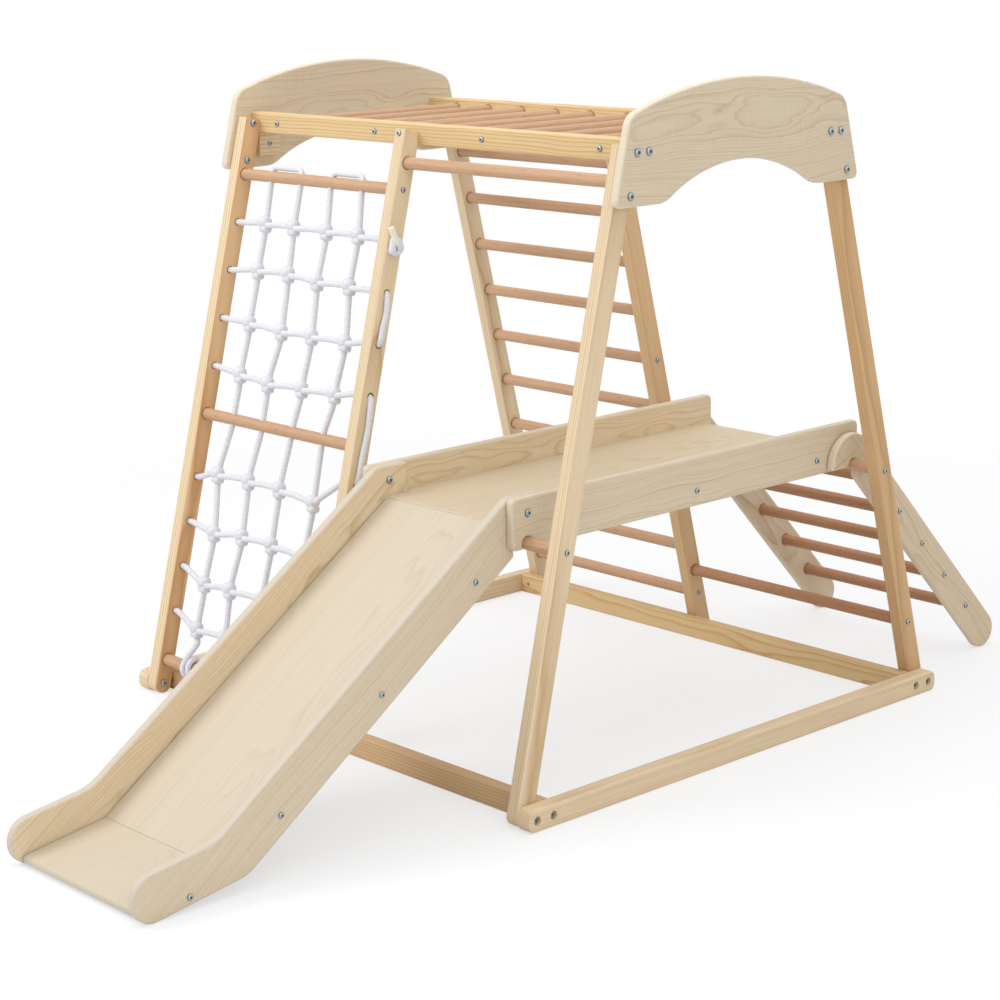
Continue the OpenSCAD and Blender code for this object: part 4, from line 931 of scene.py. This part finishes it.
# fasteners: domed heads with a hexagon socket
headSizes = {"bolt": {"radius": 8.0, "high": 4.6, "socket": 2.9},
             "screw": {"radius": 6.0, "high": 3.8, "socket": 2.4}}
head = {"around": 30, "domeRings": 5, "domeFoot": 0.25, "socketFloor": 0.35, "socketLip": 0.97,
        "middle": 0.02, "sharp": 35,
        "paintedShade": (0.45, 0.45, 0.2, 0.0, 0.0, 0.1, 0.5, 0.85, 0.95),  # painted shade of each ring, from the socket out: dark in the socket and at the foot
        "turn": (0.31, 0.87, 0.38)}  # a direction that no head points in; sets the socket's flats
fastener = {"panelUp": 22.0, "baseOut": 23.0, "wallRungs": (4, 9), "bars": (0, 3, 6, 9), "lowRung": 160.0,
            "cleatIn": 20.0, "cleatBack": 37.0, "cleatDrop": 27.0, "floorPitch": 388.0}


def headShape(size):
    # rings from the middle of the socket up its six flats, over the dome and down to the wood
    around, top, radius = head["around"], size["high"], size["radius"]
    a, sixth = roundAngles(around), math.pi / 3
    hexagon = size["socket"] / np.cos((a + sixth / 2) % sixth - sixth / 2)
    floor, lip, foot = head["socketFloor"], head["socketLip"], head["domeFoot"]
    rings = [(hexagon * head["middle"], floor * top), (hexagon, floor * top), (hexagon, lip * top)]
    for v in np.linspace(0, math.pi / 2, head["domeRings"] + 1)[1:]:
        rings.append((hexagon + (radius - hexagon) * np.sin(v), top * (foot + (1 - foot) * math.cos(v))))
    rings.append((np.full(around, radius), 0.0))
    return np.stack([np.stack([r * np.cos(a), r * np.sin(a), np.full(around, h)], -1) for r, h in rings])


def headsPiece(name, places, size, body, node):
    # places: point on the wood's face, and the way the head points
    shape = headShape(headSizes[size])
    rows, cols = shape.shape[:2]
    points, faces = [], []
    for i, (at, way) in enumerate(places):
        way = unit(np.asarray(way, float))
        u = unit(np.cross(way, head["turn"]))
        points.append(shape.reshape(-1, 3) @ np.stack([u, np.cross(way, u), way]) + np.asarray(at, float))
        faces += gridFaces(rows, cols, i * rows * cols, flip=True)
    # painted shade per ring, for the zinc material
    marks = {"paintedShade": np.tile(np.repeat(head["paintedShade"], cols), len(places))}
    makePiece(name, np.concatenate(points), faces, zinc, body, [node], marks, head["sharp"])


signs = [(sx, sy) for sx in (-1, 1) for sy in (-1, 1)]
lowBoltZ = panel["bottom"] + fastener["panelUp"]
outX, baseX = half + board, half + fastener["baseOut"]
panelHeads = [((sx * outX, sy * postY(z), z), (sx, 0, 0)) for sx, sy in signs for z in (railZ, lowBoltZ)]
panelHeads += [((sx * outX, sy * railMid, railZ), (sx, 0, 0)) for sx, sy in signs]
headsPiece("panelBolts", panelHeads, "bolt", "frame", "panel_bolts")
capHeads = [((sx * bayEdge, sy * postY(z), z), (-sx, 0, 0))
            for sx, sy in signs for z in (railZ, lowBoltZ, footZ)]
headsPiece("capNuts", capHeads, "bolt", "frame", "cap_nuts")
baseHeads = [((sx * baseX, sy * y, footZ), (sx, 0, 0)) for sx, sy in signs for y in (footY, longMid)]
headsPiece("baseBolts", baseHeads, "bolt", "frame", "base_bolts")
wallZ = [backZ[i] for i in fastener["wallRungs"]]
rungPlaces = {  # face of the post, way of the head and side of the frame: heights
    (half, 1, -1): [carryZ], (half, 1, 1): [carryZ, fastener["lowRung"]],
    (-half, -1, -1): [netMiddle, netBottom], (-half, -1, 1): wallZ,
    (midRight, 1, -1): [netTop, netBottom], (midRight, 1, 1): wallZ}
rungHeads = [((x, sy * postY(z), z), (way, 0, 0))
             for (x, way, sy), heights in rungPlaces.items() for z in heights]
rungHeads += [((barX[i], sy * railFace, railZ), (0, sy, 0)) for sy in (-1, 1) for i in fastener["bars"]]
for sy in (-1, 1):  # middle posts to the top rails
    outward = np.array([0, sy * leanCos, leanSin])
    middle = np.array([frameSize["middleX"], sy * postY(railZ), railZ])
    rungHeads.append((middle + outward * frameSize["postDeep"] / 2, outward))
headsPiece("rungBolts", rungHeads, "screw", "frame", "rung_bolts")
cleatX, cleatY = half - fastener["cleatIn"], railFace - fastener["cleatBack"]
cleatZ = frameSize["postTop"] - frameSize["railHigh"] - fastener["cleatDrop"]
cleatHeads = [((sx * cleatX, sy * cleatY, cleatZ), (-sx, 0, 0)) for sx, sy in signs]
headsPiece("cleatScrews", cleatHeads, "screw", "frame", "cleat_screws")
boltZ = (floorTop + platTop) / 2
slideHeads = [((unitX + s * reach, -carryY, boltZ), (s * way, 0, 0))
              for reach, way in ((platform["halfWide"], 1), (chuteHalf, -1)) for s in (-1, 1)]
headsPiece("slideBolts", slideHeads, "bolt", "slide_unit", "slide_bolts")


def deckZ(y):  # top of the sliding surface or the run-out
    return lineAt(deckP, slopeAngle, y) if y > deckBend[0] else lineAt(runoutP, runout, y)


screwY = [-slide["shoulder"] - share * (slide["tip"] - slide["shoulder"]) for share in slide["screws"]]
screwZ = floorTop - platform["floorThick"] / 2
deckHeads = [((unitX + s * platform["halfWide"], i * fastener["floorPitch"], screwZ), (s, 0, 0))
             for s in (-1, 1) for i in (-1, 0, 1)]
deckHeads += [((unitX + s * innerHalf, y, deckZ(y) - slide["thick"] / 2), (s, 0, 0))
              for s in (-1, 1) for y in screwY]
headsPiece("deckScrews", deckHeads, "screw", "slide_unit", "deck_screws")
ladderHeads = [((unitX + s * (ladderHalf + board), *spot), (s, 0, 0)) for s in (-1, 1) for spot in rungSpots]
headsPiece("ladderBolts", ladderHeads, "screw", "ladder", "ladder_bolts")
print("fasteners made")

# stage: pale floor, soft light, camera at the photograph's angle
stage = {"floorSize": 40.0, "floorColour": (0.86, 0.88, 0.90, 1), "shadowColour": (0.36, 0.365, 0.375, 1),
         "floorLift": 0.60, "fadeNear": 1.6, "fadeFar": 3.2, "worldLevel": 0.55, "aim": (0, 0, 0.6)}
lamps = {"key": {"place": (-2.6, -4.2, 4.6), "size": 3.0, "power": 170.0},
         "fill": {"place": (4.5, -2.0, 3.2), "size": 4.0, "power": 60.0},
         "top": {"place": (0.5, 0.6, 5.2), "size": 5.0, "power": 120.0}}
view = {"place": (3813.3, -3715.2, 1708.8), "yaw": 0.84929, "pitch": -0.13228, "roll": -0.01958,
        "focal": 2444.3, "middle": (403.77, 250.0), "image": 1000.0, "sensor": 36.0, "farthest": 100.0}


def floorMaterial():
    # seen straight: a shadow catcher that fades to white with distance; other rays meet a matt floor
    material, nodes = newMaterial("stageFloor")[:2]
    material.node_tree.nodes.clear()
    add, join = nodes.add, nodes.join
    far = add("ShaderNodeVectorMath", operation="LENGTH")
    join(add("ShaderNodeTexCoord").outputs["Object"], far.inputs[0])
    fade = add("ShaderNodeMapRange", **{"From Min": stage["fadeNear"], "From Max": stage["fadeFar"]})
    join(far.outputs["Value"], fade.inputs["Value"])
    ray = add("ShaderNodeLightPath").outputs["Is Camera Ray"]
    matte = add("ShaderNodeBsdfDiffuse", Color=stage["floorColour"])
    shadowed = add("ShaderNodeBsdfDiffuse", Color=stage["shadowColour"])
    lift = add("ShaderNodeEmission", Color=(1, 1, 1, 1), Strength=stage["floorLift"])
    white = add("ShaderNodeEmission", Color=(1, 1, 1, 1), Strength=1.0)

    def mix(kind, *sources):
        node = add(kind)
        for source, socket in zip(sources, node.inputs):
            join(source, socket)
        return node.outputs[0]

    near = mix("ShaderNodeAddShader", shadowed.outputs[0], lift.outputs[0])
    seen = mix("ShaderNodeMixShader", fade.outputs[0], near, white.outputs[0])
    whole = mix("ShaderNodeMixShader", ray, matte.outputs[0], seen)
    join(whole, add("ShaderNodeOutputMaterial").inputs["Surface"])
    return material


bpy.ops.mesh.primitive_plane_add(size=stage["floorSize"])
floor = bpy.context.object
floor.name = "stageFloor"
floor.data.materials.append(floorMaterial())

world = bpy.data.worlds.new("studio")
bpy.context.scene.world = world
world.use_nodes = True
nodes = nodeTools(world.node_tree)
back = world.node_tree.nodes["Background"].inputs
nodes.join((1, 1, 1, 1), back["Color"])
ray = nodes.add("ShaderNodeLightPath").outputs
mirrored = nodes.calc("MAXIMUM", ray["Is Glossy Ray"], ray["Is Transmission Ray"])
seen = nodes.calc("MAXIMUM", ray["Is Camera Ray"], mirrored)
nodes.join(nodes.line(seen, 1 - stage["worldLevel"], stage["worldLevel"]), back["Strength"])

for name, values in lamps.items():
    lamp = bpy.data.lights.new(name + "Light", "AREA")
    lamp.size = values["size"]
    lamp.energy = values["power"]
    lampObject = bpy.data.objects.new(name + "Light", lamp)
    bpy.context.scene.collection.objects.link(lampObject)
    lampObject.location = values["place"]
    aim = Vector(stage["aim"]) - Vector(values["place"])
    lampObject.rotation_euler = aim.to_track_quat("-Z", "Y").to_euler()

camera = bpy.data.objects.new("camera", bpy.data.cameras.new("camera"))
bpy.context.scene.collection.objects.link(camera)
yaw, pitch, roll = view["yaw"], view["pitch"], view["roll"]
forward = np.array([-math.sin(yaw) * math.cos(pitch), math.cos(yaw) * math.cos(pitch), math.sin(pitch)])
right = np.array([math.cos(yaw), math.sin(yaw), 0.0])
up = np.cross(right, forward)
right, up = math.cos(roll) * right + math.sin(roll) * up, math.cos(roll) * up - math.sin(roll) * right
spot = toRow([view["place"]])[0]
camera.matrix_world = Matrix([[right[i], up[i], -forward[i], spot[i]] for i in range(3)] + [[0, 0, 0, 1]])
camera.data.sensor_width = view["sensor"]
camera.data.lens = view["focal"] / view["image"] * view["sensor"]
camera.data.shift_x = 0.5 - view["middle"][0] / view["image"]
camera.data.shift_y = view["middle"][1] / view["image"] - 0.5
camera.data.clip_end = view["farthest"]
bpy.context.scene.camera = camera
bpy.context.scene.view_settings.view_transform = "Standard"
print("stage made")
